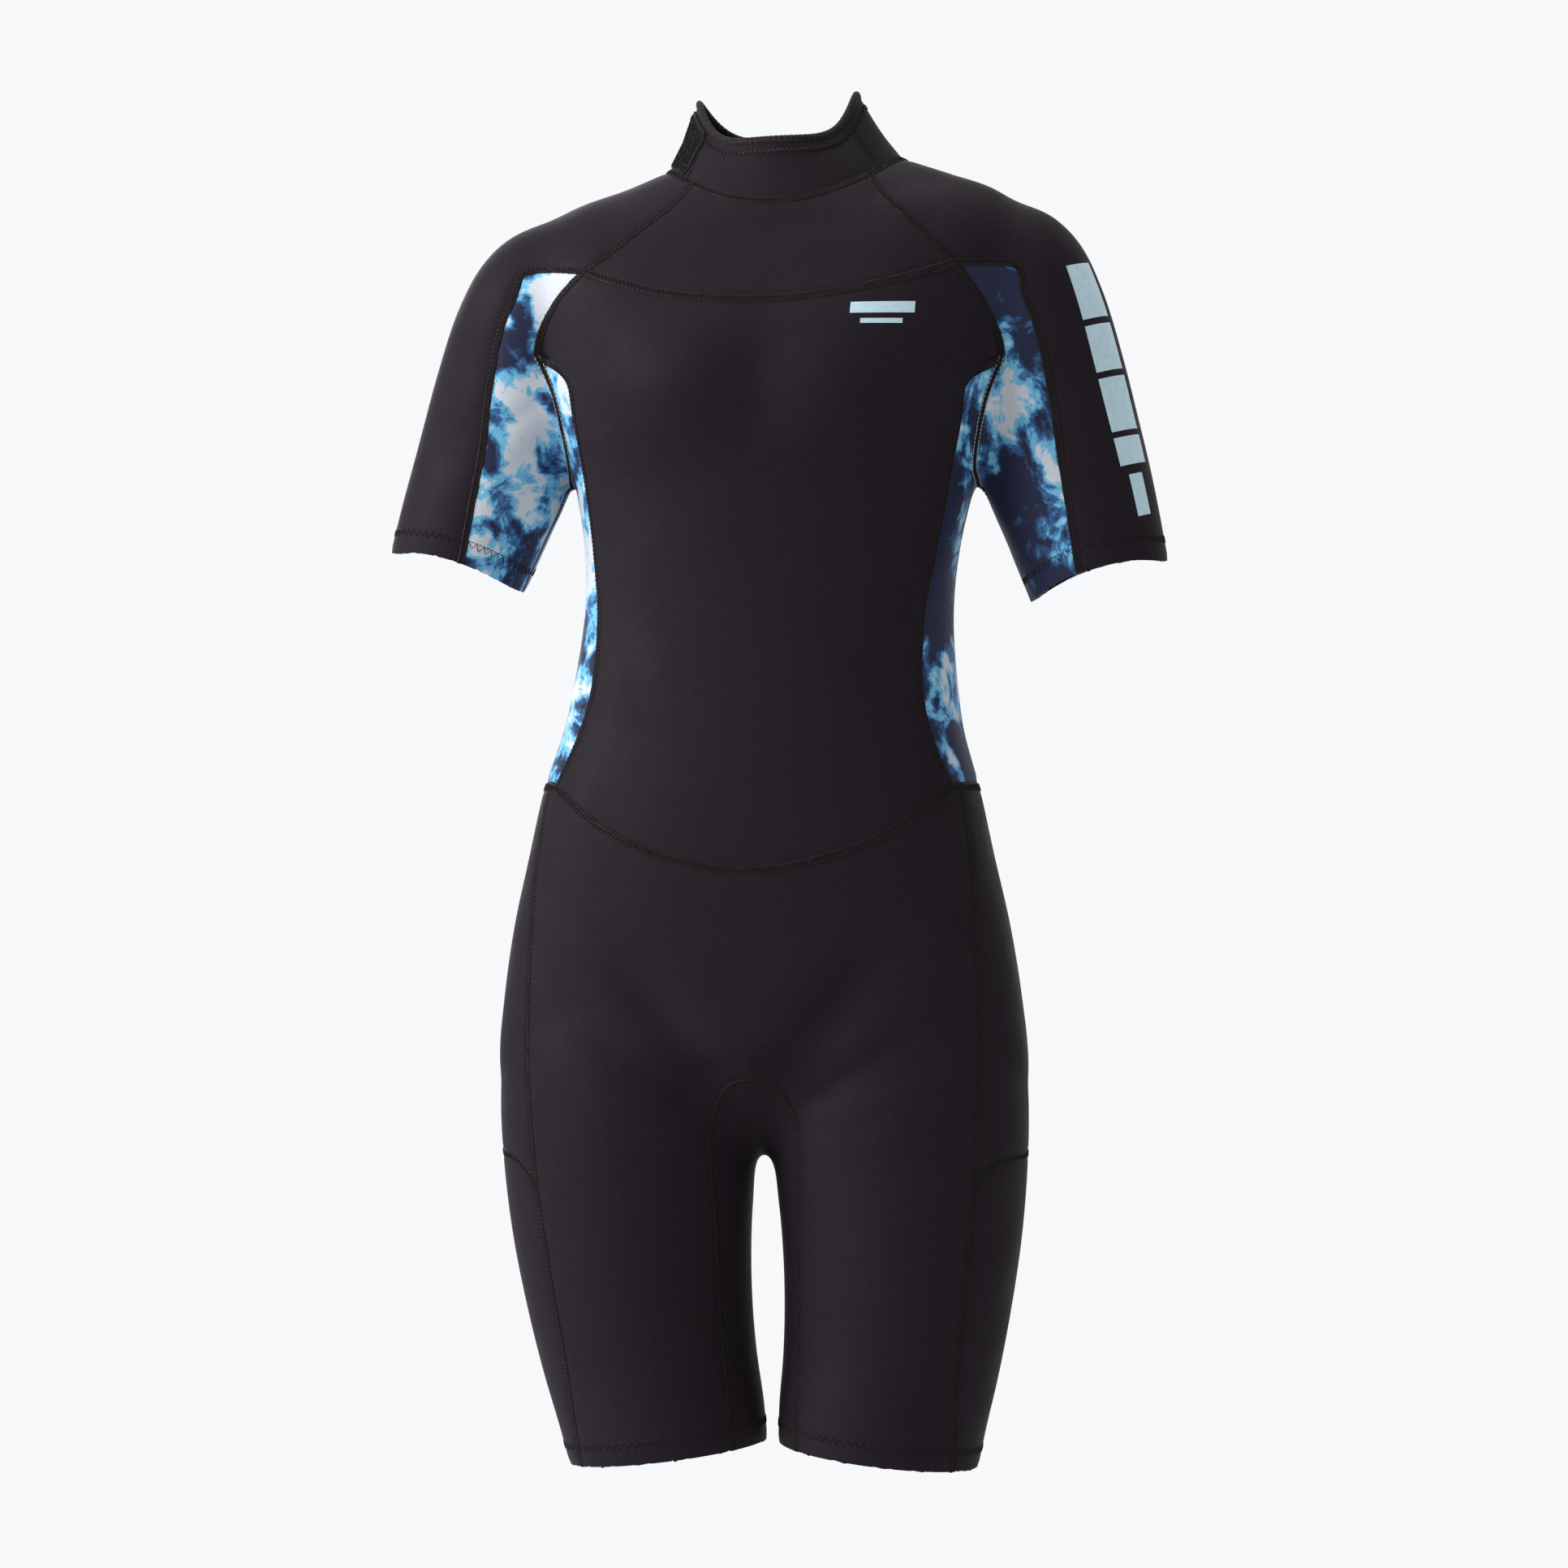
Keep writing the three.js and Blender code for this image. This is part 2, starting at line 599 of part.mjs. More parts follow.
/** The collar's pieces. */
function addCollar() {
  const gap = 0.3;
  const addStrip = (name, { angles, shares, outward }, finish) => {
    addCloth(name, collarStrip(angles, shares, outward), finish);
  };
  const addWall = (name, from, to) => {
    const wall = { angles: [from + gap, to - gap], shares: COLLAR_SHARES, outward: [-CLOTH, 0] };
    addStrip(name, wall, FINISH.neoprene);
  };
  addWall('collar_front', -180 + COLLAR_SEAM, -COLLAR_SEAM);
  addWall('collar_side_left', -COLLAR_SEAM, CENTRE_BACK[0]);
  addWall('collar_side_right', CENTRE_BACK[1], 180 + COLLAR_SEAM);
  addStrip('collar_loop_patch', LOOP_PATCH, FINISH.loop);
  addStrip('collar_flap', FLAP, FINISH.neoprene);
  addStrip('collar_flap_hook', HOOK, FINISH.loop);
}

/** The rolled binding along the collar's edge, from one side of the centre back to the other. */
function addBinding() {
  const points = 25;
  const rim = Array.from({ length: points }, (_, i) => {
    const angle = between(CENTRE_BACK[1] + 2, CENTRE_BACK[0] + 358, i / (points - 1));
    return collarPoint(angle, BINDING.share, -CLOTH / 2);
  });
  const oval = new THREE.EllipseCurve(0, 0, BINDING.halfThickness, BINDING.halfHeight);
  const section = new THREE.Shape(oval.getPoints(BINDING.sides).slice(0, BINDING.sides));
  const extrudePath = new THREE.CatmullRomCurve3(rim);
  const binding = new THREE.ExtrudeGeometry(section, { steps: 36, extrudePath, bevelEnabled: false });
  addCloth('collar_binding', geometryOf(solidOf(binding)), FINISH.binding);
}

/** A strip that follows the zip: x from and to, heights from and to, and depths under the back's surface. */
function zipStrip(x, heights, depths, steps) {
  return block(1, steps, (u, v, w) => {
    const height = between(...heights, v);
    return new THREE.Vector3(between(x[1], x[0], u), zipDepth(height) - between(depths[1], depths[0], w), height);
  });
}

/** The zip's fixed pieces: tapes, coils, stops, backing flap and end patch. */
function addZip() {
  const [low, high] = [ZIP_END.height + 2, ZIP_TOP.height];
  const fold = 9; // facets along the arc
  addPair('zip_tape', zipStrip(ZIP_TAPE.x, [low, high], ZIP_TAPE.depths, fold), FINISH.tape);
  addPair('zip_coil', zipStrip(ZIP_COIL.x, [low + 5, high - 4], ZIP_COIL.depths, fold), FINISH.coil);
  const addStop = (name, from, to) => {
    addCloth(name, zipStrip(ZIP_STOP.x, [from, to], ZIP_STOP.depths, 1), FINISH.metal);
  };
  addStop('zip_top_stop', high - ZIP_STOP.length + 1, high);
  addStop('zip_bottom_stop', low, low + ZIP_STOP.length);
  addCloth('zip_backing_flap', zipStrip(BACKING_FLAP.x, [low - 4, high - 1], BACKING_FLAP.depths, fold),
    FINISH.neoprene);
  const end = ZIP_END.height - 1;
  addCloth('zip_end_patch', zipStrip(END_PATCH.x, [end - END_PATCH.length, end], END_PATCH.depths, 1), FINISH.tape);
}

/** The tape inside a hem, as a ring that is open by a hairline where its ends meet. */
function hemTape(pointAt) {
  const inset = CLOTH + 0.5;
  return block(LIMB_SIDES, 1, (u, v, w) => {
    const angle = between(0.01, 2 * Math.PI - 0.01, u);
    return pointAt(angle, v * HEM_TAPE, inset + (1 - w) * TAPE_THICKNESS);
  });
}

/** The tapes inside the cuffs and the leg hems. */
function addHemTapes() {
  addPair('leg_hem_tape', hemTape((angle, up, inset) => {
    const [hem, above] = [LEG[7], LEG[6]];
    const share = up / (above.height - hem.height);
    const mixed = (key) => between(hem[key], above[key], share);
    return legPoint({
      x: mixed('x'),
      height: mixed('height'),
      halfWidth: mixed('halfWidth') - inset,
      front: mixed('front') - inset,
      back: mixed('back') - inset,
      lean: hem.lean,
    }, angle);
  }), FINISH.tape);
  addPair('sleeve_hem_tape', hemTape((angle, up, inset) => {
    const share = up / SLEEVE[1].along;
    const mixed = (key) => between(SLEEVE[0][key], SLEEVE[1][key], share) - inset;
    const scoop = HEM_SCOOP * (1 - Math.cos(2 * angle)) * (1 - share);
    return sleevePoint({ along: up + 1 + scoop, halfWidth: mixed('halfWidth'), halfDepth: mixed('halfDepth') }, angle);
  }), FINISH.tape);
}

// ---- The slider and its puller, in a frame of their own on the zip ----

/** A box from one corner to the other. */
function boxBetween(low, high) {
  const size = high.map((value, i) => value - low[i]);
  return new THREE.BoxGeometry(...size).translate(...low.map((value, i) => value + size[i] / 2));
}

/** The slider: a plate that rides on the coil, with a bridge for the puller. */
function sliderSolid() {
  const outer = -SLIDER.lift + SLIDER.thickness;
  const plate = solidOf(boxBetween(
    [-SLIDER.width / 2, -SLIDER.lift, -SLIDER.length / 2],
    [SLIDER.width / 2, outer, SLIDER.length / 2],
  ));
  const bridge = solidOf(boxBetween(
    [-BRIDGE.width / 2, outer - 0.5, -BRIDGE.length / 2],
    [BRIDGE.width / 2, outer + BRIDGE.height, BRIDGE.length / 2],
  ));
  const opening = solidOf(boxBetween(
    [-BRIDGE.width, outer + WINDOW.lift, -WINDOW.length / 2],
    [BRIDGE.width, outer + WINDOW.lift + WINDOW.height, WINDOW.length / 2],
  ));
  return geometryOf(plate.add(bridge).subtract(opening));
}

/** The puller: a flat tab whose eye goes through the bridge, hanging down from its hinge at the origin. */
function pullerSolid() {
  const half = PULLER.thickness / 2;
  const tab = solidOf(boxBetween(
    [-PULLER.width / 2, -half, PULLER.top - PULLER.length],
    [PULLER.width / 2, half, PULLER.top],
  ));
  const eye = solidOf(boxBetween(
    [-PULLER.eye / 2, -2 * half, -PULLER.eyeLength],
    [PULLER.eye / 2, 2 * half, -PULLER.top],
  ));
  return geometryOf(tab.subtract(eye));
}

/** Places the slider and the puller on the closed zip. */
function addSlider() {
  const step = 1;
  const slope = (zipDepth(SLIDER_HEIGHT + step) - zipDepth(SLIDER_HEIGHT - step)) / (2 * step);
  const onZip = new THREE.Group();
  onZip.position.set(sideShift(SLIDER_HEIGHT), zipDepth(SLIDER_HEIGHT), SLIDER_HEIGHT);
  onZip.rotation.set(-Math.atan(slope), Math.atan(TORSO_LEAN), 0);
  suit.add(onZip);
  add('zip_slider', sliderSolid(), FINISH.metal, onZip);
  const hinge = new THREE.Group();
  hinge.position.set(0, SLIDER.thickness - SLIDER.lift + WINDOW.lift + WINDOW.height / 2, 0);
  onZip.add(hinge);
  add('zip_puller', pullerSolid(), FINISH.metal, hinge);
}

addFront();
addSides();
addBack();
addSleeves();
addShorts();
addCollar();
addBinding();
addZip();
addHemTapes();
addSlider();

export default suit;
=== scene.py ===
"""A wetsuit with short sleeves and short legs, cut, sewn and trimmed round an unseen body.

Shapes are worked out in millimetres, with the body standing straight. Every finished piece is then
leaned with the body and scaled to metres. The chest faces -Y and the wearer's left is at +X.
"""

import math

import bpy
import numpy as np
from mathutils import Matrix, Vector
from mathutils.bvhtree import BVHTree


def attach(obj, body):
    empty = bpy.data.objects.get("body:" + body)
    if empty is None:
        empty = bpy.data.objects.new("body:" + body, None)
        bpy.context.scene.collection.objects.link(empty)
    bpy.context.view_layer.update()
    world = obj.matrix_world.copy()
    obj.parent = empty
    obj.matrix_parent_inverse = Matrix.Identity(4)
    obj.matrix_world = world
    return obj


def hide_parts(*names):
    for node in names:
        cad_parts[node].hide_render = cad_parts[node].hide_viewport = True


bl_info = {
    "name": "Short Wetsuit",
    "version": (1, 0, 0),
    "blender": (4, 5, 0),
    "location": "View3D > Sidebar > Wetsuit",
    "description": "Cuts, sews and trims a short wetsuit round its frame",
    "category": "Object",
}

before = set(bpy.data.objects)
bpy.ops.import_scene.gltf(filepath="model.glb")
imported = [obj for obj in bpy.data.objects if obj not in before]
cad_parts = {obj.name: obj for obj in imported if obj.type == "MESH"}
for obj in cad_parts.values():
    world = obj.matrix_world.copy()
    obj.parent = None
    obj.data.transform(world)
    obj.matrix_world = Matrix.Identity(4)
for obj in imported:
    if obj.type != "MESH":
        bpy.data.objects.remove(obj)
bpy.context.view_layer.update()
MM = 0.001

# ---- Sizes shared by several pieces, in millimetres ----

ZIP_TOP = 370.0
ZIP_TOP_DEPTH = 86.0
ZIP_END = 45.0
ZIP_END_DEPTH = 84.0
ZIP_HOLLOW = 6.5
ZIP_SLOT = 6.5
COLLAR_OPENING = 2.3
SLIDER_HEIGHT = 356.0
HIP_SHIFT = -5.0
TORSO_LEAN = 0.046
LEG_RETURN = 8.0
NECK_RETURN = 0.13
SHOULDER_TILT = 0.044
SLEEVE_HEM = (208.0, 142.0)
SLEEVE_SWING = math.radians(16.5)
SLEEVE_DEPTH_SHIFT = 3.0
HEM_SCOOP = 4.5
HEM_TIP = 0.045  # how much higher the cuff is behind than in front, for each millimetre of depth
LEG_HEM = (69.0, -428.5)
LEG_HEM_LEAN = math.radians(7)
LEG_LENGTH = 421.0  # from the hips down to where the legs are shifted by LEG_RETURN
LEFT_ARM_SWING = 0.05  # how far the left arm swings out, for each millimetre down from its shoulder
SHOULDER_REST = (-165, 318)  # where the right shoulder stands, across and up, before it is raised
SHOULDER_RAISE = 12.0
SHOULDER_REACH = 62.0
HEM_TAPE_WIDTH = 13.0
HEM_TAPE_INSET = 4.6
HEM_TAPE_TURN = (0.02, 2 * math.pi - 0.02)  # where the tape's two ends meet, in radians
SLIVER = 0.12  # a triangle whose middle lies this close to a trimmed edge is trimmed away too


# ---- Settings ----


class ClothSettings(bpy.types.PropertyGroup):
    """The neoprene and its colours."""

    thickness: bpy.props.FloatProperty(
        name="Thickness", description="Thickness of the neoprene", default=0.003, unit="LENGTH"
    )
    grain: bpy.props.FloatProperty(
        name="Grain", description="Size of the facets of the cloth", default=0.0031, unit="LENGTH"
    )
    black: bpy.props.FloatVectorProperty(
        name="Black", description="Jersey face of the neoprene", subtype="COLOR",
        default=(0.0118, 0.0086, 0.0122),
    )
    collar: bpy.props.FloatVectorProperty(
        name="Collar", description="Face of the collar", subtype="COLOR", default=(0.0112, 0.0086, 0.0115)
    )
    white: bpy.props.FloatVectorProperty(
        name="White", description="Lightest colour of the print", subtype="COLOR", default=(0.53, 0.56, 0.61)
    )
    sky: bpy.props.FloatVectorProperty(
        name="Sky", description="Light blue of the print", subtype="COLOR", default=(0.14, 0.42, 0.62)
    )
    blue: bpy.props.FloatVectorProperty(
        name="Blue", description="Middle blue of the print", subtype="COLOR", default=(0.04, 0.13, 0.31)
    )
    navy: bpy.props.FloatVectorProperty(
        name="Navy", description="Darkest colour of the print", subtype="COLOR", default=(0.014, 0.017, 0.045)
    )


class SeamSettings(bpy.types.PropertyGroup):
    """The seams and their thread."""

    pitch: bpy.props.FloatProperty(
        name="Stitch", description="Length of one stitch", default=0.0028, unit="LENGTH"
    )
    thread: bpy.props.FloatProperty(
        name="Thread", description="Thickness of the thread", default=0.00055, unit="LENGTH"
    )
    colour: bpy.props.FloatVectorProperty(
        name="Thread colour", description="Colour of the seam thread", subtype="COLOR",
        default=(0.0135, 0.0098, 0.0115),
    )
    binding: bpy.props.FloatVectorProperty(
        name="Binding colour", description="Colour of the binding round the collar", subtype="COLOR",
        default=(0.017, 0.0125, 0.0145),
    )


class ZipSettings(bpy.types.PropertyGroup):
    """The zip down the back."""

    pitch: bpy.props.FloatProperty(
        name="Pitch", description="Distance from one turn of the coil to the next",
        default=0.00155, unit="LENGTH",
    )
    metal: bpy.props.FloatVectorProperty(
        name="Metal", description="Colour of the slider and the stops", subtype="COLOR",
        default=(0.4, 0.41, 0.43),
    )


class StageSettings(bpy.types.PropertyGroup):
    """The camera, the lights and the floor."""

    distance: bpy.props.FloatProperty(
        name="Distance", description="From the camera to the suit", default=3.4, unit="LENGTH"
    )
    azimuth: bpy.props.FloatProperty(
        name="Azimuth", description="How far the camera stands towards the wearer's left",
        default=math.radians(6.5), subtype="ANGLE",
    )
    lens: bpy.props.FloatProperty(name="Lens", description="Focal length in millimetres", default=119.5)
    floor_drop: bpy.props.FloatProperty(
        name="Floor", description="How far the floor lies below the waist", default=0.95, unit="LENGTH"
    )


# ---- The body as rings from the crotch up to the collar ----


def zip_depth(height):
    """How far the centre back stands behind the middle of the body at a height."""
    share = (height - ZIP_END) / (ZIP_TOP - ZIP_END)
    chord = ZIP_END_DEPTH + (ZIP_TOP_DEPTH - ZIP_END_DEPTH) * share
    return chord - 4 * ZIP_HOLLOW * share * (1 - share)


def level(height, half_width, front, back, power):
    """A ring that lies level: its half width and height, its depths in front and behind, and its power."""
    return (half_width, height, front, height, back, height, power, 1)


def backed(side, front, back_height, power):
    """A ring whose front, side and back have heights of their own, with the zip's depth behind."""
    return (*side, *front, zip_depth(back_height), back_height, power, 1)


# A ring in full: half width, its height, front depth, its height, back depth, its height, power, rise.
NECK_SEAM = (76, 411, 70, 381, 67, 398, 2.1, 1)
COLLAR_MIDDLE = (64.5, 429, 63, 402, 61, 416, 2.05, 1.4)
COLLAR_EDGE = (52.5, 455, 58, 422, 58, 434, 2, 2.8)
COLLAR_PAST = (46, 475, 55, 442, 56, 452, 2, 2.8)

TORSO = [
    level(-230, 160, 14, 24, 2.2),
    level(-222, 168, 30, 50, 2.2),
    level(-210, 170, 50, 76, 2.25),
    level(-195, 172, 68, 96, 2.3),
    level(-172, 173, 86, 110, 2.4),
    level(-130, 169, 92, 112, 2.4),
    level(-85, 162, 95, 106, 2.4),
    level(-40, 152, 96, 97, 2.4),
    level(5, 142, 94, 88, 2.35),
    level(45, 130, 91, zip_depth(45), 2.3),
    level(80, 124, 88, zip_depth(80), 2.3),
    level(117, 120.5, 87, zip_depth(117), 2.3),
    level(160, 122.5, 89, zip_depth(160), 2.3),
    level(200, 130, 97, zip_depth(200), 2.35),
    level(235, 139, 109, zip_depth(235), 2.4),
    level(265, 148, 117, zip_depth(265), 2.4),
    level(295, 154, 112, zip_depth(295), 2.4),
    backed((160, 322), (103, 315), 318, 2.45),
    backed((165, 345), (94, 333), 338, 2.5),
    backed((162, 366), (86, 349), 355, 2.5),
    backed((143, 385), (79, 362), 370, 2.4),
    (107, 399, 74, 373, 80, 386, 2.2, 1),
    NECK_SEAM,
]

# Leg rings: middle, height, half width, depth in front and behind, and how many degrees the ring leans in.
LEG = [
    (88, -150, 82, 80, 96, 0),
    (89, -200, 84, 84, 95, 0),
    (89, -244, 82.3, 81, 88, 0),
    (88.4, -286, 78.2, 78, 83, 2),
    (85, -328, 74, 75, 79, 4),
    (79, -371, 70.2, 72, 75.5, 6),
    (72.5, -405, 67.5, 71, 73, 7),
    (69, -428.5, 65.5, 70, 72, 7),
    (66, -455, 64, 69, 71, 7),
]

# Sleeve rings: distance along the arm from the cuff, half width and half depth.
SLEEVE = [
    (-28, 44, 47.5),
    (0, 46.5, 50),
    (40, 50.3, 54),
    (83, 53, 57),
    (128, 54.5, 60),
    (172, 53, 62),
    (200, 48.5, 60),
    (220, 40, 52),
    (235, 27, 38),
    (243, 10, 15),
]

# ---- Seam lines on the wearer's left, as (across, height) seen from in front or from behind ----

SEAM_POINTS = {
    "raglan_front": [(50, 430), (60.7, 391.7), (88, 364), (118.6, 335)],
    "raglan_back": [(38, 430), (46, 398), (70, 370), (112, 330)],
    "chest": [(0, 315), (45, 318), (85, 325.5), (118.6, 335)],
    "arm_front": [(118.6, 335), (136, 312), (146, 292), (149, 279)],
    "arm_back": [(112, 330), (130, 300), (141, 262)],
    "armpit_front": [(149, 279), (140, 258), (135, 235), (132, 212), (134, 195), (140, 110)],
    "armpit_back": [(141, 262), (136, 235), (132, 212), (134, 195), (140, 110)],
    "side_front": [
        (149, 279), (128, 264), (124, 239), (117, 198), (109, 146), (105, 115), (105.7, 73), (111, 47),
        (120, 23.5), (129, 5),
    ],
    "side_back": [
        (141, 262), (112, 250), (104, 198), (93, 130), (92, 95), (101, 62), (117, 34), (131, 11), (170, 9),
    ],
    "side_point": [(129, 5), (130.5, 7.5), (133, 9), (170, 9)],
    "waist_front": [(0, -48), (45, -41), (90, -23.5), (129, 5)],
    "waist_back": [(0, -12), (60, -8), (128, 5)],
    "waist_side": [(127, 5), (200, 5)],
    "print_front": [
        (118.6, 335), (156, 334), (163, 316), (173, 291), (181, 255), (185, 225), (189, 200), (193, 175),
        (203, 110),
    ],
    "print_back": [(112, 330), (150, 318), (172, 280), (183, 235), (190, 190), (203, 110)],
    "hip_front": [(134, 5), (141, -42), (146, -115), (147, -167), (145, -209), (142, -253)],
    "hip_back": [(128, 5), (129, -60), (132, -130), (132, -209), (130, -253)],
    "thigh_front": [(142, -253), (136, -303), (127, -371), (118, -470)],
    "thigh_back": [(130, -253), (126, -303), (118, -371), (110, -470)],
    "arc_front": [(142, -253), (150, -241), (162, -234), (200, -231)],
    "arc_back": [(130, -253), (142, -241), (160, -234), (200, -231)],
    "gusset_front": [
        (0, -183), (14, -187), (24, -203), (28, -222), (26, -270), (25, -333), (20, -415), (18, -470),
    ],
    "gusset_back": [
        (0, -196), (12, -199), (22, -212), (27, -232), (26, -270), (25, -333), (20, -415), (18, -470),
    ],
}

FRONT_LINES = [
    "raglan_front", "chest", "arm_front", "armpit_front", "side_front", "side_point", "waist_front",
    "waist_side", "print_front", "hip_front", "thigh_front", "arc_front", "gusset_front",
]
BACK_LINES = [
    "raglan_back", "arm_back", "armpit_back", "side_back", "waist_back", "waist_side", "print_back",
    "hip_back", "thigh_back", "arc_back", "gusset_back",
]


def smooth(points, steps=8):
    """A smooth line through a few points, which crosses the middle of the suit level."""
    points = np.array(points, float)
    if len(points) < 3:
        return points
    before = points[1] * (-1, 1) if points[0, 0] == 0 else points[0]
    padded = np.vstack([before, points, points[-1]])
    t = np.arange(steps)[:, None] / steps
    spans = []
    for i in range(len(points) - 1):
        a, b, c, d = padded[i : i + 4]
        spans.append(
            b + 0.5 * t * (c - a + t * (2 * a - 5 * b + 4 * c - d + t * (3 * (b - c) + d - a)))
        )
    return np.vstack([*spans, points[-1:]])


LINES = {name: smooth(points) for name, points in SEAM_POINTS.items()}


# ---- Stance ----


def side_shift(height):
    """How far the middle of the body stands to one side at each height."""
    height = np.asarray(height, float)
    hip, waist, shoulder = -20.0, 40.0, 400.0
    straight = HIP_SHIFT + TORSO_LEAN * (np.minimum(height, shoulder) - (hip + waist) / 2)
    bend = HIP_SHIFT + TORSO_LEAN * (height - hip) ** 2 / (2 * (waist - hip))
    legs = HIP_SHIFT + LEG_RETURN * ((height - hip) / LEG_LENGTH) ** 2
    neck = NECK_RETURN * np.maximum(height - shoulder, 0)
    return np.where(height < hip, legs, np.where(height < waist, bend, straight - neck))


def eased_step(value, low, high):
    """Rises smoothly from 0 to 1 between two values."""
    share = np.clip((value - low) / (high - low), 0, 1)
    return share**2 * (3 - 2 * share)


def posed(points):
    """Points with the left arm held a little further out and the right shoulder a little higher."""
    x, z = points[:, 0].copy(), points[:, 2].copy()
    up = np.clip((z - 240) / 60, 0, 1)
    left = eased_step(x, 132 - 20 * up, 150 + 45 * up) * (z > 60)
    right = bump(np.hypot(x - SHOULDER_REST[0], z - SHOULDER_REST[1]), SHOULDER_REACH)
    low_down = eased_step(-z, -230, -150) * (z > 60)
    cuffs = 4.5 * eased_step(-x, 132, 150) - 3 * eased_step(x, 132, 150)
    points[:, 0] += LEFT_ARM_SWING * np.clip(274 - z, -90, 150) * left - SHOULDER_RAISE / 2 * right
    points[:, 2] += SHOULDER_RAISE * right + low_down * cuffs
    return points


def lean(points):
    """Points posed, and leaned with the body."""
    points = posed(np.array(points, float))
    tilt = SHOULDER_TILT * eased_step(points[:, 2], 240, 360)
    shift = side_shift(points[:, 2])
    points[:, 2] += tilt * points[:, 0]
    points[:, 0] += shift
    return points


# ---- Rings and lofts ----


def swell(value, power):
    """The way round a rounded box: 2 is an ellipse, and more is squarer."""
    return np.sign(value) * np.abs(value) ** (2 / power)


def torso_ring(row, angles):
    """Points round a body ring. The wearer's left is at angle 0 and the chest at -90 degrees."""
    side_x, side_z, front_y, front_z, back_y, back_z, power, rise = row
    across, along = np.cos(angles), np.sin(angles)
    depth = np.where(along < 0, front_y, back_y)
    height = np.where(along < 0, front_z, back_z)
    height = height + (side_z - height) * np.abs(across) ** (2 * rise)
    return np.stack([side_x * swell(across, power), depth * swell(along, power), height], axis=-1)


def leg_ring(row, angles):
    """Points round a ring of the wearer's left leg."""
    middle, height, half_width, front, back, turn = row
    turn = math.radians(turn)
    across = half_width * np.cos(angles)
    depth = np.where(np.sin(angles) < 0, front, back) * np.sin(angles)
    return np.stack([middle + across * math.cos(turn), depth, height - across * math.sin(turn)], axis=-1)


def arm_point(along, across, depth):
    """Points placed along the left arm from its cuff, across it, and behind its middle."""
    cos, sin = math.cos(SLEEVE_SWING), math.sin(SLEEVE_SWING)
    return np.stack(
        [
            SLEEVE_HEM[0] - along * sin + across * cos,
            SLEEVE_DEPTH_SHIFT + depth,
            SLEEVE_HEM[1] + along * cos + across * sin,
        ],
        axis=-1,
    )


def sleeve_ring(row, angles):
    """Points round a ring of the wearer's left sleeve."""
    along, half_width, half_depth = row
    return arm_point(along, half_width * np.cos(angles), half_depth * np.sin(angles))


def eased(rows, step):
    """The same rows with more rows between them, on a smooth curve."""
    rows = np.array(rows, float)
    gaps = np.linalg.norm(np.diff(rows, axis=0), axis=1)
    knots = np.concatenate([[0], np.cumsum(gaps)])
    slopes = np.gradient(rows, knots, axis=0)
    at = np.linspace(0, knots[-1], max(2, int(knots[-1] / step)))
    i = np.clip(np.searchsorted(knots, at, side="right") - 1, 0, len(knots) - 2)
    span = (knots[i + 1] - knots[i])[:, None]
    t = (at - knots[i])[:, None] / span
    return (
        (1 + 2 * t) * (1 - t) ** 2 * rows[i]
        + t * (1 - t) ** 2 * span * slopes[i]
        + t**2 * (3 - 2 * t) * rows[i + 1]
        + t**2 * (t - 1) * span * slopes[i + 1]
    )


def loft(rows, ring, sides=96):
    """A closed shell through rings: its points and faces."""
    angles = np.arange(sides) * 2 * math.pi / sides
    points = np.vstack([ring(row, angles) for row in rows])
    count = len(rows)
    faces = []
    for r in range(count - 1):
        for i in range(sides):
            a, b = r * sides + i, r * sides + (i + 1) % sides
            faces.append((a, b, b + sides, a + sides))
    faces.append(tuple(range(sides))[::-1])
    faces.append(tuple(range((count - 1) * sides, count * sides)))
    return points, faces


def mirrored(shell):
    """The same shell on the wearer's right."""
    points, faces = shell
    return points * (-1, 1, 1), [face[::-1] for face in faces]


# ---- Meshes ----


def new_object(name, points, faces):
    """A mesh object from points in metres."""
    mesh = bpy.data.meshes.new(name)
    mesh.from_pydata([tuple(p) for p in points], [], [tuple(int(i) for i in f) for f in faces])
    mesh.validate()
    made = bpy.data.objects.new(name, mesh)
    bpy.context.scene.collection.objects.link(made)
    return made


def select_only(*objects):
    """Leaves edit mode, selects these objects and makes the first one active."""
    if bpy.context.mode != "OBJECT":
        bpy.ops.object.mode_set(mode="OBJECT")
    bpy.ops.object.select_all(action="DESELECT")
    for each in objects:
        each.select_set(True)
    bpy.context.view_layer.objects.active = objects[0]


def apply_modifiers(made):
    """Applies every modifier of an object."""
    select_only(made)
    for modifier in list(made.modifiers):
        bpy.ops.object.modifier_apply(modifier=modifier.name)


def soften(made, degrees=40):
    """Smooth shading, with edges kept where faces turn sharply."""
    select_only(made)
    bpy.ops.object.shade_smooth_by_angle(angle=math.radians(degrees))


def read_points(mesh):
    """A mesh's vertices as an array."""
    flat = np.empty(len(mesh.vertices) * 3)
    mesh.vertices.foreach_get("co", flat)
    return flat.reshape(-1, 3)


def finish(made, body, finish_material, slot, *nodes):
    """Gives a finished piece its material, and joins it to the frame."""
    made.data.materials.clear()
    made.data.materials.append(finish_material)
    if nodes:
        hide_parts(*nodes)
    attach(made, body)
    return made


class Stock:
    """Gathers many small shapes into one mesh."""

    def __init__(self):
        self.points = []
        self.faces = []
        self.count = 0

    def add(self, points, faces):
        """Adds one shape: points in millimetres, and an array of faces."""
        self.points.append(np.asarray(points, float))
        self.faces.extend((np.asarray(face) + self.count).tolist() for face in faces)
        self.count += len(points)

    def make(self, name):
        """The leaned and scaled object."""
        return new_object(name, lean(np.vstack(self.points)) * MM, self.faces)


def unit(vectors):
    """The same directions with length 1."""
    return vectors / np.maximum(np.linalg.norm(vectors, axis=-1, keepdims=True), 1e-9)


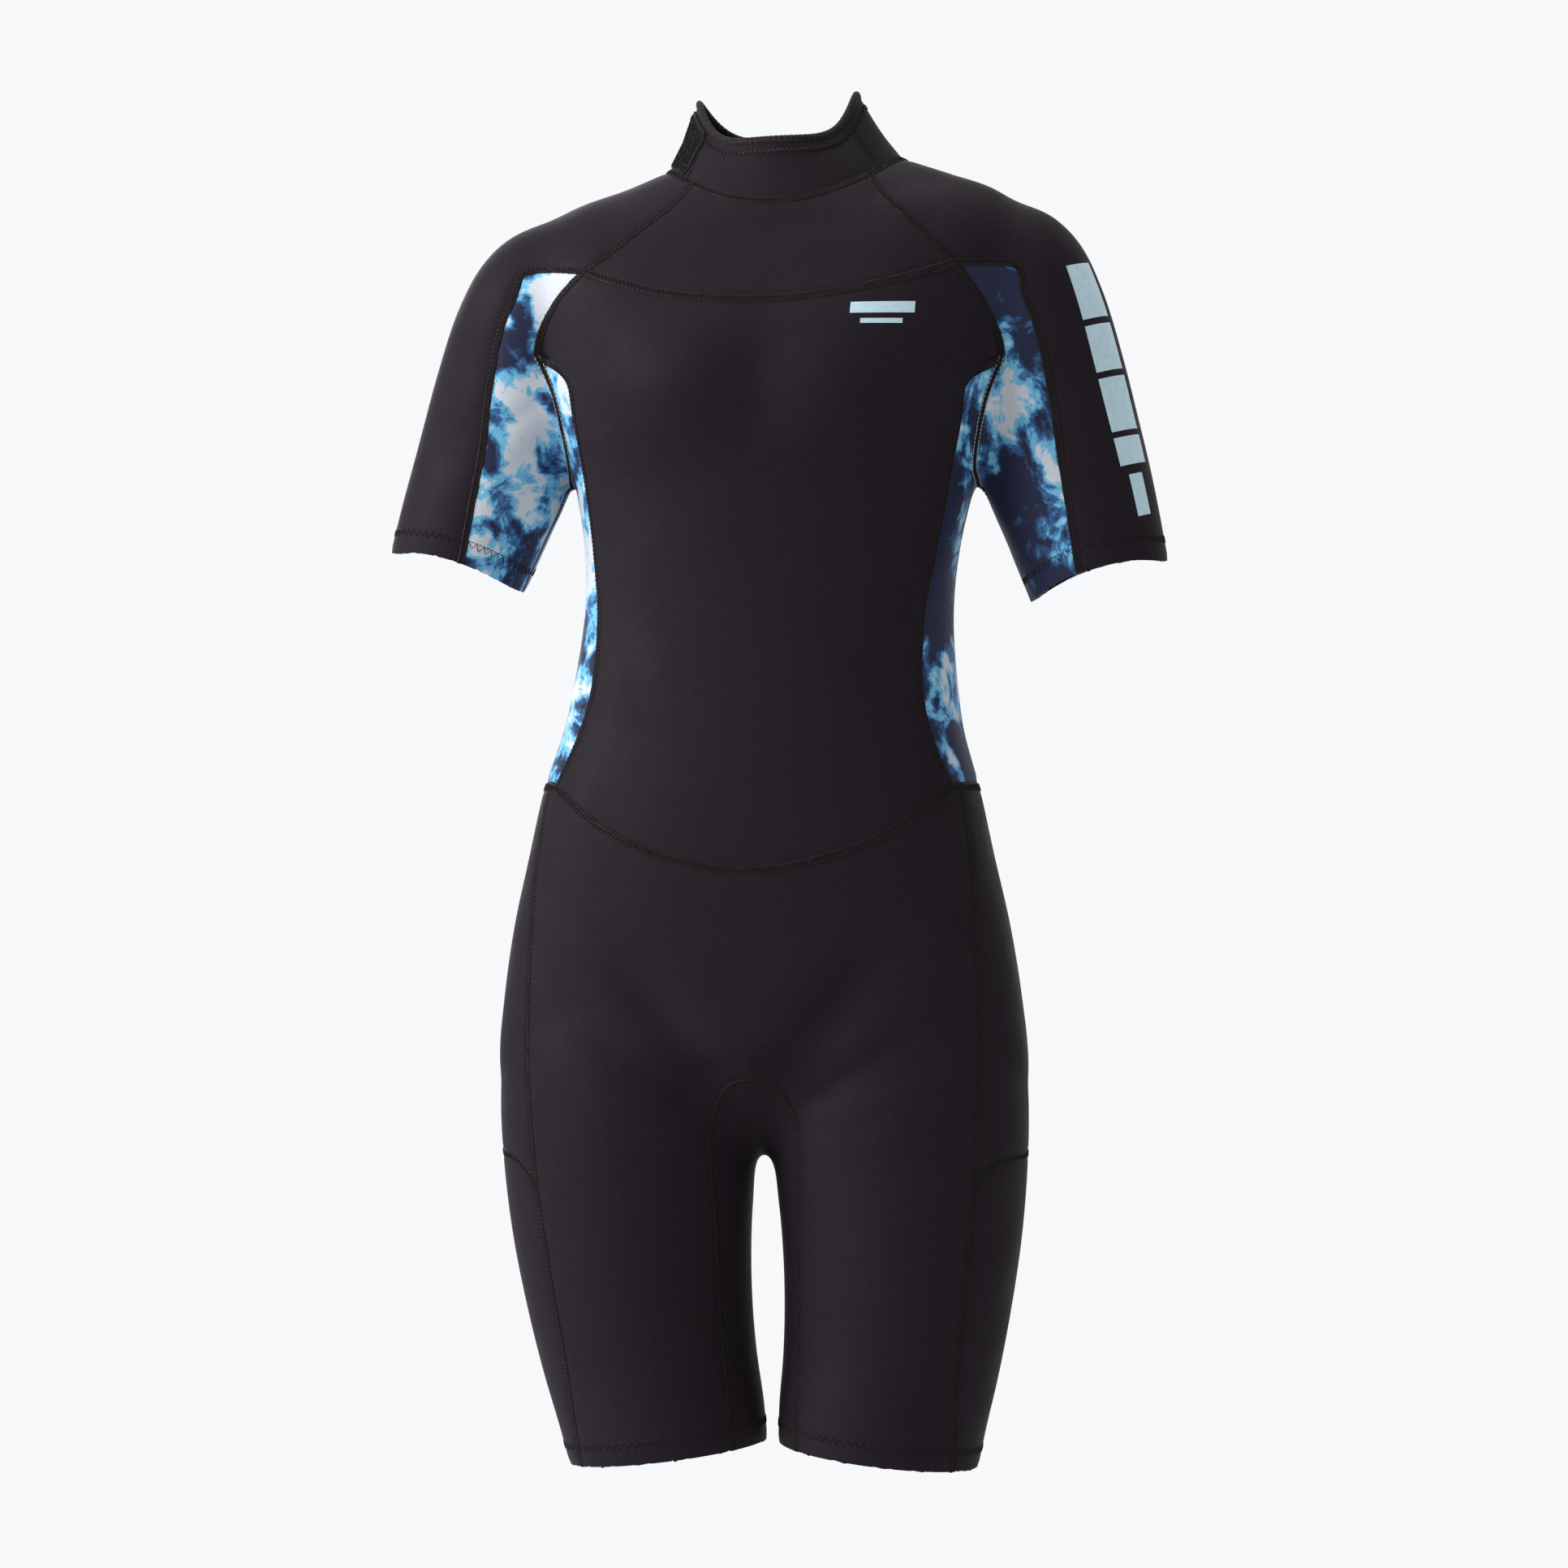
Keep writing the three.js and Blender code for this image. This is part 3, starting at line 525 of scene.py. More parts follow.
def sweep(path, up, section, closed=False):
    """A bar along a path: section holds (across, up) corners, one set for all or one set for each point."""
    path, up = np.asarray(path, float), np.asarray(up, float)
    if closed:
        tangent = np.roll(path, -1, axis=0) - np.roll(path, 1, axis=0)
    else:
        tangent = np.gradient(path, axis=0)
    tangent = unit(tangent)
    across = unit(np.cross(tangent, up))
    up = np.cross(across, tangent)
    section = np.asarray(section, float)
    if section.ndim == 2:
        section = np.broadcast_to(section, (len(path), *section.shape))
    points = path[:, None] + across[:, None] * section[..., :1] + up[:, None] * section[..., 1:]
    sides = section.shape[1]
    rings = len(path)
    faces = []
    for r in range(rings if closed else rings - 1):
        low, high = r * sides, ((r + 1) % rings) * sides
        for i in range(sides):
            j = (i + 1) % sides
            faces.append((low + i, low + j, high + j, high + i))
    if not closed:
        faces.append(tuple(range(sides))[::-1])
        faces.append(tuple(range((rings - 1) * sides, rings * sides)))
    return points.reshape(-1, 3), faces


def oval(half_across, half_up, sides, lift=0.0):
    """The corners of an oval section."""
    angles = -np.arange(sides) * 2 * math.pi / sides
    return np.stack([half_across * np.cos(angles), lift + half_up * np.sin(angles)], axis=1)


# ---- The skin and its seams ----


class Skin:
    """The triangles of the suit's outer face, which the seams cut into panels."""

    SNAP = 0.2  # a line that passes this close to a corner, as a share of the edge, goes through the corner

    def __init__(self, points, triangles):
        self.points = points
        self.triangles = triangles
        self.locked = np.zeros(len(points), bool)

    def centres(self):
        """The middle of each triangle."""
        return self.points[self.triangles].mean(axis=1)

    def normals(self):
        """The direction that each point faces."""
        a, b, c = (self.points[self.triangles[:, k]] for k in range(3))
        face = np.cross(b - a, c - a)
        total = np.zeros_like(self.points)
        for k in range(3):
            for axis in range(3):
                total[:, axis] += np.bincount(self.triangles[:, k], face[:, axis], len(self.points))
        return unit(total)

    def cut(self, distance, where):
        """Puts edges where distance is zero, on the triangles whose middles where picks."""
        picked = self.triangles[where(self.centres())]
        if not len(picked):
            return
        value = distance(self.points)
        edges = np.unique(np.sort(picked[:, [0, 1, 1, 2, 2, 0]].reshape(-1, 2), axis=1), axis=0)
        edges = edges[value[edges[:, 0]] * value[edges[:, 1]] < 0]
        share = value[edges[:, 0]] / (value[edges[:, 0]] - value[edges[:, 1]])
        near = np.minimum(share, 1 - share)
        for e in np.argsort(-near):
            if near[e] > self.SNAP:
                continue
            a, b = edges[e]
            corner = a if share[e] < 0.5 else b
            if not self.locked[corner]:
                self.points[corner] = self.points[a] + share[e] * (self.points[b] - self.points[a])
            value[corner] = 0
        a, b = edges[value[edges[:, 0]] * value[edges[:, 1]] < 0].T
        share = (value[a] / (value[a] - value[b]))[:, None]
        count = len(self.points)
        added = self.points[a] + share * (self.points[b] - self.points[a])
        self.locked |= (value == 0) & np.isin(np.arange(count), edges)
        self.points = np.vstack([self.points, added])
        self.locked = np.concatenate([self.locked, np.ones(len(added), bool)])
        self._split(a * count + b, count)

    def _split(self, keys, count):
        """Divides the triangles whose edges have a new point. keys holds those edges in rising order."""
        if not len(keys):
            return
        triangles = self.triangles
        edges = np.sort(triangles[:, [[0, 1], [1, 2], [2, 0]]], axis=2)
        edge_keys = edges[..., 0].astype(np.int64) * count + edges[..., 1]
        place = np.minimum(np.searchsorted(keys, edge_keys), len(keys) - 1)
        hit = keys[place] == edge_keys
        middle = count + place
        hits = hit.sum(axis=1)
        parts = [triangles[hits == 0]]

        def turned(rows, first):
            order = (first[:, None] + np.arange(3)) % 3
            return np.take_along_axis(triangles[rows], order, 1), np.take_along_axis(middle[rows], order, 1)

        one = np.flatnonzero(hits == 1)
        (p, q, r), (m, _, _) = (part.T for part in turned(one, np.argmax(hit[one], axis=1)))
        parts += [np.stack([p, m, r], 1), np.stack([m, q, r], 1)]
        two = np.flatnonzero(hits == 2)
        (p, q, r), (_, m, n) = (part.T for part in turned(two, np.argmin(hit[two], axis=1)))
        parts += [np.stack([m, r, n], 1), np.stack([p, q, m], 1), np.stack([p, m, n], 1)]
        three = np.flatnonzero(hits == 3)
        (p, q, r), (k, m, n) = (part.T for part in turned(three, np.zeros(len(three), int)))
        parts += [np.stack(t, 1) for t in ((p, k, n), (k, q, m), (m, r, n), (k, m, n))]
        self.triangles = np.vstack(parts)


def line_distance(line, run_on=8.0):
    """The signed distance to a line seen from in front, whose ends run on a little."""
    start, step = line[:-1], np.diff(line, axis=0)
    length = np.linalg.norm(step, axis=1)
    low, high = np.zeros(len(step)), np.ones(len(step))
    low[0], high[-1] = -run_on / length[0], 1 + run_on / length[-1]

    def distance(points):
        flat = np.stack([np.abs(points[:, 0]), points[:, 2]], axis=1)
        value = np.ones(len(points))
        near = np.flatnonzero(near_box(line, flat, 2 * run_on))
        offset = flat[near, None] - start
        t = np.clip((offset * step).sum(axis=2) / length**2, low, high)
        away = offset - t[..., None] * step
        gap = np.linalg.norm(away, axis=2)
        best = gap.argmin(axis=1)
        rows = np.arange(len(near))
        side = step[best, 0] * offset[rows, best, 1] - step[best, 1] * offset[rows, best, 0]
        value[near] = gap[rows, best] * np.where(side < 0, -1, 1)
        return value

    return distance


def near_box(line, flat, margin):
    """Which flat points lie within a margin of a line's own box."""
    low, high = line.min(axis=0) - margin, line.max(axis=0) + margin
    return ((flat > low) & (flat < high)).all(axis=1)


def along_line(line, front):
    """Picks the triangles near a line, on the front or the back half of the suit."""

    def where(centres):
        half = centres[:, 1] < 0 if front else centres[:, 1] >= 0
        flat = np.stack([np.abs(centres[:, 0]), centres[:, 2]], axis=1)
        return half & near_box(line, flat, 5)

    return where


def inside(outline, flat):
    """Which flat points lie inside an outline."""
    outline = np.asarray(outline, float)
    found = np.zeros(len(flat), bool)
    near = np.flatnonzero(near_box(outline, flat, 1))
    x, z = flat[near].T
    odd = np.zeros(len(near), bool)
    for (ax, az), (bx, bz) in zip(outline, np.roll(outline, -1, axis=0)):
        if az == bz:
            continue
        crosses = (az > z) != (bz > z)
        odd ^= crosses & (x < ax + (z - az) * (bx - ax) / (bz - az))
    found[near] = odd
    return found


def walk(*steps):
    """An outline from seam lines by name, with a minus sign for one walked backwards, and single points."""
    parts = []
    for step in steps:
        if isinstance(step, str):
            parts.append(LINES[step[1:]][::-1] if step[0] == "-" else LINES[step])
        else:
            parts.append(np.array([step], float))
    return np.vstack(parts)


FRONT_PANELS = {
    "chest_yoke": walk("chest", "-raglan_front", (50, 500), (-1, 500), (-1, 315)),
    "front_torso_panel": walk("chest", "arm_front", "side_front", "-waist_front", (-1, -48), (-1, 315)),
    "side_panel": walk("-armpit_front", "side_front", "side_point"),
    "back_panel": walk("side_point", (220, 9), (220, 5)),
    "raglan_sleeve": walk((50, 500), "raglan_front", "print_front", (203, 80), (400, 80), (400, 500)),
    "sleeve_print_front": walk("-print_front", "arm_front", "armpit_front", (140, 80), (203, 80)),
    "shorts_front": walk("waist_front", "hip_front", "thigh_front", "-gusset_front", (-1, -183), (-1, -48)),
    "hip_side": walk("hip_front", "arc_front", (200, 5)),
    "thigh_side": walk("-thigh_front", "arc_front", (200, -470)),
    "crotch_gusset": walk("gusset_front", (-1, -470), (-1, -183)),
}
BACK_PANELS = {
    "back_panel": walk(
        (-1, 500), (38, 500), "raglan_back", "arm_back", "side_back", (220, 9), (220, 5), "-waist_back",
        (-1, -12),
    ),
    "side_panel": walk("-armpit_back", "side_back"),
    "raglan_sleeve": walk((38, 500), "raglan_back", "print_back", (203, 80), (400, 80), (400, 500)),
    "sleeve_print_back": walk("-print_back", "arm_back", "armpit_back", (140, 80), (203, 80)),
    "seat_panel": walk("waist_back", "hip_back", "thigh_back", "-gusset_back", (-1, -196), (-1, -12)),
    "hip_side": walk("hip_back", "arc_back", (200, 5)),
    "thigh_side": walk("-thigh_back", "arc_back", (200, -470)),
    "crotch_gusset": walk("gusset_back", (-1, -470), (-1, -196)),
}
ONE_PIECE = ("chest_yoke", "front_torso_panel", "shorts_front", "crotch_gusset", "collar_front")


def ring_height(row, points):
    """The height of a tilted ring over or under each point."""
    side_x, side_z, front_y, front_z, back_y, back_z, power, rise = row
    front = points[:, 1] < 0
    across = np.abs(points[:, 0] / side_x) ** power
    along = np.abs(points[:, 1] / np.where(front, front_y, back_y)) ** power
    height = np.where(front, front_z, back_z)
    return height + (side_z - height) * (across / np.maximum(across + along, 1e-9)) ** rise


def above_ring(row):
    """The distance of points above a tilted ring."""
    return lambda points: points[:, 2] - ring_height(row, points)


def along_arm(points):
    """How far points lie up the arm from the scooped cuff."""
    x, z = np.abs(points[:, 0]) - SLEEVE_HEM[0], points[:, 2] - SLEEVE_HEM[1]
    y = points[:, 1] - SLEEVE_DEPTH_SHIFT
    along = z * math.cos(SLEEVE_SWING) - x * math.sin(SLEEVE_SWING)
    across = x * math.cos(SLEEVE_SWING) + z * math.sin(SLEEVE_SWING)
    turn = (y / SLEEVE[1][2]) ** 2
    scoop = 2 * HEM_SCOOP * turn / np.maximum(turn + (across / SLEEVE[1][1]) ** 2, 1e-9)
    return along - scoop - HEM_TIP * y


def up_leg(points):
    """How far points lie up the leg from its hem."""
    x, z = np.abs(points[:, 0]) - LEG_HEM[0], points[:, 2] - LEG_HEM[1]
    return z * math.cos(LEG_HEM_LEAN) + x * math.sin(LEG_HEM_LEAN)


def collar_split(points):
    """Zero at the seams between the collar's front and its sides."""
    return points[:, 1] + 0.66 * np.abs(points[:, 0])


def slot_half(height):
    """Half the opening at the centre back: the zip's slot, and the slit above it."""
    share = np.clip((height - 362) / 14, 0, 1)
    return ZIP_SLOT + (COLLAR_OPENING - ZIP_SLOT) * share


def is_sleeve(points):
    """Which points can belong to a sleeve's lower part."""
    return (np.abs(points[:, 0]) > 133) & (points[:, 2] > 60) & (points[:, 2] < 260)


def bump(distance, width):
    """1 at no distance, falling smoothly to nothing."""
    return np.exp(-((distance / width) ** 2))


def line_gap(points, a, b):
    """Distance in front view from the line between two points on the wearer's left, and its mirror."""
    flat = np.stack([np.abs(points[:, 0]), points[:, 2]], axis=1)
    a, b = np.array(a, float), np.array(b, float)
    t = np.clip(((flat - a) @ (b - a)) / ((b - a) @ (b - a)), 0, 1)
    return np.linalg.norm(flat - a - t[:, None] * (b - a), axis=1)


def modelled(points, normals):
    """The skin with the soft forms of the body pressed into it."""
    x, y, z = np.abs(points[:, 0]), points[:, 1], points[:, 2]
    front, back = y < 0, y > 0
    rise = np.zeros(len(points))
    rise += front * 6.0 * bump(np.hypot(x - 60, (z - 258) * 0.9), 42)
    rise -= front * 3.5 * bump(np.hypot(x * 1.6, z - 262), 40)
    rise -= front * 3.0 * bump(np.hypot((x - 62) * 0.6, z - 208), 26)
    rise += front * 2.5 * bump(np.hypot(x, (z - 20) * 0.8), 62)
    rise -= front * 7.0 * bump(line_gap(points, (100, -76), (28, -178)), 18) * eased_step(-z, 66, 150)
    rise -= front * 4.0 * bump(np.hypot(x * 0.9, z + 190), 24)
    rise -= front * 1.6 * bump(line_gap(points, (100, 352), (128, 300)), 15)
    rise += back * 7.0 * bump(np.hypot(x - 62, (z + 128) * 0.8), 50)
    rise -= back * 6.0 * bump(np.hypot(x * 2.4, (z + 150) * 0.55), 34)
    rise -= back * 3.0 * bump(np.hypot((x - 70) * 0.5, z + 214), 22)
    rise += back * 3.5 * bump(np.hypot(x - 78, (z - 300) * 0.7), 38)
    rise += creases(points)
    return points + normals * rise[:, None]


# Creases where the cloth turns with the limbs: in front (-1) or behind (1), two ends as (across, height), and
# depth and width.
CREASES = [
    (-1, (118, 300), (98, 268), 0.9, 5),
    (-1, (128, 262), (104, 236), 0.8, 5),
    (-1, (150, 250), (176, 232), 0.8, 5),
    (-1, (148, 228), (172, 204), 0.7, 5),
    (-1, (40, -196), (88, -182), 0.5, 7),
    (-1, (38, -214), (84, -208), 0.5, 7),
    (-1, (112, 96), (70, 84), 0.6, 7),
    (-1, (110, 64), (62, 58), 0.5, 7),
    (1, (122, 292), (98, 262), 1.2, 6),
    (1, (116, 268), (88, 236), 1.0, 6),
    (1, (100, 92), (46, 78), 1.0, 7),
    (1, (104, 66), (44, 48), 0.9, 7),
    (1, (96, 40), (48, 16), 0.8, 7),
    (1, (36, -228), (104, -214), 0.7, 7),
    (1, (40, -250), (96, -244), 0.4, 7),
    (1, (50, -330), (112, -322), 0.6, 7),
]


def creases(points):
    """Small folds at the armpits, the waist and the tops of the legs."""
    rise = np.zeros(len(points))
    for half, a, b, depth, width in CREASES:
        gap = line_gap(points, a, b)
        fold = bump(gap, width) * 1.6 - bump(gap, width * 2.2)
        rise -= depth * fold * (np.sign(points[:, 1]) == half)
    return rise


def relaxed(points, edges, weight, rounds, keep_size=True):
    """Points moved towards the middle of their neighbours, and back out again to keep the form's size."""
    a, b = edges.T
    count = len(points)
    links = np.maximum(np.bincount(edges.ravel(), minlength=count), 1)[:, None]
    for turn in range(rounds * 2 if keep_size else rounds):
        sums = [np.bincount(a, points[b, k], count) + np.bincount(b, points[a, k], count) for k in range(3)]
        total = np.stack(sums, axis=1)
        pull = -1.02 * weight if keep_size and turn % 2 else weight
        points = points + pull * (total / links - points)
    return points


def body_skin(grain):
    """One even skin round the torso, the legs, the sleeves and the collar."""
    shells = [
        loft(eased(TORSO, 5), torso_ring, 128),
        loft(eased([NECK_SEAM, COLLAR_MIDDLE, COLLAR_EDGE, COLLAR_PAST], 4), torso_ring),
        loft(eased(LEG, 5), leg_ring),
        loft(eased(SLEEVE, 4), sleeve_ring),
    ]
    shells += [mirrored(shells[2]), mirrored(shells[3])]
    stock = Stock()
    for points, faces in shells:
        stock.add(points, faces)
    made = new_object("skin", np.vstack(stock.points), stock.faces)
    remesh = made.modifiers.new("Remesh", "REMESH")
    remesh.mode = "VOXEL"
    remesh.voxel_size = grain
    apply_modifiers(made)
    mesh = made.data
    points = read_points(mesh)
    edges = np.empty(len(mesh.edges) * 2, int)
    mesh.edges.foreach_get("vertices", edges)
    mesh.calc_loop_triangles()
    triangles = np.empty(len(mesh.loop_triangles) * 3, int)
    mesh.loop_triangles.foreach_get("vertices", triangles)
    bpy.data.objects.remove(made)
    bpy.data.meshes.remove(mesh)
    edges = edges.reshape(-1, 2)
    points = relaxed(points, edges, 0.5, 8)
    x, z = np.abs(points[:, 0]), points[:, 2]
    crease = np.maximum(bump(np.hypot(x - 138, z - 236), 30), bump(np.hypot(x, z + 226), 36))
    crease = np.maximum(crease, bump(np.hypot(x - 152, (z - 360) * 0.6), 36))
    points = relaxed(points, edges, 0.5 * crease[:, None], 70, False)
    skin = Skin(points, triangles.reshape(-1, 3))
    skin.points = modelled(skin.points, skin.normals())
    return skin


def cut_seams(skin):
    """Cuts every seam, hem and opening into the skin."""
    skin.cut(lambda p: p[:, 1] + 1e-4, lambda c: np.abs(c[:, 0]) > 100)
    skin.cut(above_ring(NECK_SEAM), lambda c: (c[:, 2] > 365) & (np.abs(c[:, 0]) < 90))
    skin.cut(above_ring(COLLAR_EDGE), lambda c: (c[:, 2] > 405) & (np.abs(c[:, 0]) < 70))
    skin.cut(along_arm, is_sleeve)
    skin.cut(up_leg, lambda c: c[:, 2] < -380)
    skin.cut(
        lambda p: np.abs(p[:, 0]) - slot_half(p[:, 2]),
        lambda c: (c[:, 1] > 0) & (c[:, 2] > ZIP_END - 4) & (np.abs(c[:, 0]) < 20),
    )
    skin.cut(
        lambda p: p[:, 2] - ZIP_END,
        lambda c: (c[:, 1] > 0) & (np.abs(c[:, 0]) < ZIP_SLOT + 1) & (np.abs(c[:, 2] - ZIP_END) < 10),
    )
    skin.cut(
        lambda p: p[:, 0],
        lambda c: (c[:, 1] > 0) & (np.abs(c[:, 0]) < 10) & (c[:, 2] < ZIP_END + 2) & (c[:, 2] > -210),
    )
    skin.cut(
        collar_split,
        lambda c: (c[:, 1] < 0) & (np.abs(c[:, 0]) < 80) & (c[:, 2] > 385) & (above_ring(NECK_SEAM)(c) > -4),
    )
    for name in FRONT_LINES:
        skin.cut(line_distance(LINES[name]), along_line(LINES[name], True))
    for name in BACK_LINES:
        skin.cut(line_distance(LINES[name]), along_line(LINES[name], False))


def panel_names(skin):
    """The panel that each triangle belongs to, or nothing where the suit is open."""
    centres = skin.centres()
    flat = np.stack([np.abs(centres[:, 0]), centres[:, 2]], axis=1)
    front = centres[:, 1] < 0
    names = np.full(len(centres), "", dtype=object)
    for half, outlines in ((front, FRONT_PANELS), (~front, BACK_PANELS)):
        for name, outline in outlines.items():
            names[half & (names == "") & inside(outline, flat)] = name
    collar = (centres[:, 2] > ring_height(NECK_SEAM, centres)) & (flat[:, 0] < 90) & (centres[:, 2] > 370)
    names[collar] = np.where(collar_split(centres[collar]) < 0, "collar_front", "collar_side")
    both = ~np.isin(names, ONE_PIECE) & (names != "")
    names[both] = names[both] + np.where(centres[both, 0] > 0, "_left", "_right")
    gone = collar & (centres[:, 2] > ring_height(COLLAR_EDGE, centres) - SLIVER)
    gone |= collar & (np.hypot(centres[:, 0], centres[:, 1]) < 40)
    gone |= (centres[:, 2] < -300) & (up_leg(centres) < SLIVER)
    gone |= is_sleeve(centres) & (along_arm(centres) < SLIVER)
    gone |= ~front & (flat[:, 0] < slot_half(centres[:, 2])) & (centres[:, 2] > ZIP_END)
    names[gone] = ""
    return names


def seam_runs(skin, names):
    """The lines where two panels meet, each as the panels' names and its points in order."""
    triangles = skin.triangles
    edges = np.sort(triangles[:, [[0, 1], [1, 2], [2, 0]]].reshape(-1, 2), axis=1)
    owner = np.repeat(names, 3)
    order = np.lexsort((edges[:, 1], edges[:, 0]))
    edges, owner = edges[order], owner[order]
    same = np.flatnonzero((edges[1:] == edges[:-1]).all(axis=1))
    groups = {}
    for i in same:
        pair = tuple(sorted((owner[i], owner[i + 1])))
        if pair[0] != pair[1]:
            groups.setdefault(pair, []).append(edges[i])
    runs = []
    for pair, links in sorted(groups.items()):
        runs += [(pair, chain) for chain in chains(links)]
    return runs


def chains(links):
    """Edges strung together into runs of points."""
    beside = {}
    for a, b in links:
        beside.setdefault(int(a), []).append(int(b))
        beside.setdefault(int(b), []).append(int(a))
    used = set()
    starts = sorted(v for v, others in beside.items() if len(others) != 2) + sorted(beside)
    made = []
    for start in starts:
        for first in beside[start]:
            if (start, first) in used:
                continue
            run = [start, first]
            used |= {(start, first), (first, start)}
            while len(beside[run[-1]]) == 2:
                a, b = beside[run[-1]]
                step = b if a == run[-2] else a
                if (run[-1], step) in used:
                    break
                used |= {(run[-1], step), (step, run[-1])}
                run.append(step)
            if len(run) > 3:
                made.append(run)
    return made


# ---- Node helpers ----


class Recipe:
    """Builds one procedural material, node by node."""

    def __init__(self, name):
        self.material = bpy.data.materials.new(name)
        self.material.use_nodes = True
        self.tree = self.material.node_tree
        self.shader = self.tree.nodes["Principled BSDF"]
        self.object = self.node("ShaderNodeTexCoord").outputs["Object"]

    def node(self, kind, inputs=(), **settings):
        """A new node. Inputs are given by name or number, as values or as links."""
        made = self.tree.nodes.new(kind)
        for key, value in settings.items():
            setattr(made, key, value)
        for key, value in dict(inputs).items():
            if isinstance(value, bpy.types.NodeSocket):
                self.tree.links.new(value, made.inputs[key])
            else:
                made.inputs[key].default_value = value
        return made

    def math(self, operation, a, b=0.0, clamp=False):
        """One sum."""
        return self.node("ShaderNodeMath", {0: a, 1: b}, operation=operation, use_clamp=clamp).outputs[0]

    def noise(self, scale, detail=3.0, rough=0.5, distortion=0.0, vector=None):
        """Cloudy noise from 0 to 1."""
        inputs = {"Vector": vector or self.object, "Scale": scale, "Detail": detail}
        inputs.update({"Roughness": rough, "Distortion": distortion})
        return self.node("ShaderNodeTexNoise", inputs).outputs["Fac"]

    def stretch(self, scale, turn=(0, 0, 0)):
        """The object's coordinates, turned and scaled along each axis."""
        inputs = {"Vector": self.object, "Scale": scale, "Rotation": turn}
        return self.node("ShaderNodeMapping", inputs).outputs[0]

    def ramp(self, value, stops):
        """Colours or greys along a value. stops holds (place, colour)."""
        made = self.node("ShaderNodeValToRGB", {0: value})
        elements = made.color_ramp.elements
        while len(elements) < len(stops):
            elements.new(0.5)
        for element, (place, colour) in zip(elements, stops):
            element.position = place
            element.color = (*colour, 1) if hasattr(colour, "__len__") else (colour, colour, colour, 1)
        return made.outputs[0]

    def mix(self, share, a, b):
        """A colour between two colours."""
        made = self.node("ShaderNodeMix", {"Factor": share}, data_type="RGBA")
        for key, value in ((6, a), (7, b)):
            if isinstance(value, bpy.types.NodeSocket):
                self.tree.links.new(value, made.inputs[key])
            else:
                made.inputs[key].default_value = (*value, 1)
        return made.outputs[2]

    def bump(self, height, distance):
        """Gives the surface a relief of this height in metres."""
        normal = self.shader.inputs["Normal"]
        inputs = {"Height": height, "Distance": distance, "Strength": 1.0}
        if normal.is_linked:
            inputs["Normal"] = normal.links[0].from_socket
        self.tree.links.new(self.node("ShaderNodeBump", inputs).outputs[0], normal)

    def set(self, **values):
        """Sets or links the shader's own sockets, named with underscores for spaces."""
        for key, value in values.items():
            socket = self.shader.inputs[key.replace("_", " ")]
            if isinstance(value, bpy.types.NodeSocket):
                self.tree.links.new(value, socket)
            else:
                socket.default_value = value


def scaled(colour, share):
    """A colour made lighter or darker."""
    return tuple(channel * share for channel in colour)


def knit(recipe, depth=0.00016):
    """The fine uneven courses of jersey laminated to neoprene."""
    courses = recipe.noise(620.0, 2.0, 0.6, vector=recipe.stretch((0.45, 0.45, 1.0)))
    loops = recipe.noise(1100.0, 1.0, 0.5)
    relief = recipe.math("ADD", recipe.math("MULTIPLY", courses, 0.65), recipe.math("MULTIPLY", loops, 0.35))
    recipe.bump(relief, depth)
    return relief


def neoprene(name, colour, sheen=0.03):
    """Jersey-faced neoprene: matt, finely knitted, with a soft sheen, slight unevenness and a painted
    highlight on the knit's raised loops.
    """
    recipe = Recipe(name)
    relief = knit(recipe)
    cloud = recipe.noise(7.0, 4.0, 0.6)
    tone = recipe.mix(cloud, scaled(colour, 0.85), scaled(colour, 1.15))
    # Painted highlight: the colour is lightened where the knit's relief stands highest, leaving painted shade
    # in the grooves.
    shade = recipe.ramp(relief, [(0.38, 0.0), (0.62, 1.0)])
    tone = recipe.mix(recipe.math("MULTIPLY", shade, 0.35), tone, scaled(colour, 1.7))
    recipe.set(
        Base_Color=tone, Sheen_Weight=sheen, Sheen_Roughness=0.45, Sheen_Tint=(0.8, 0.7, 0.82, 1),
        Specular_IOR_Level=0.07,
    )
    recipe.set(Roughness=recipe.ramp(recipe.noise(26.0, 3.0), [(0.3, 0.6), (0.7, 0.74)]))
    recipe.bump(recipe.noise(38.0, 4.0, 0.55), 0.0003)
    return recipe.material


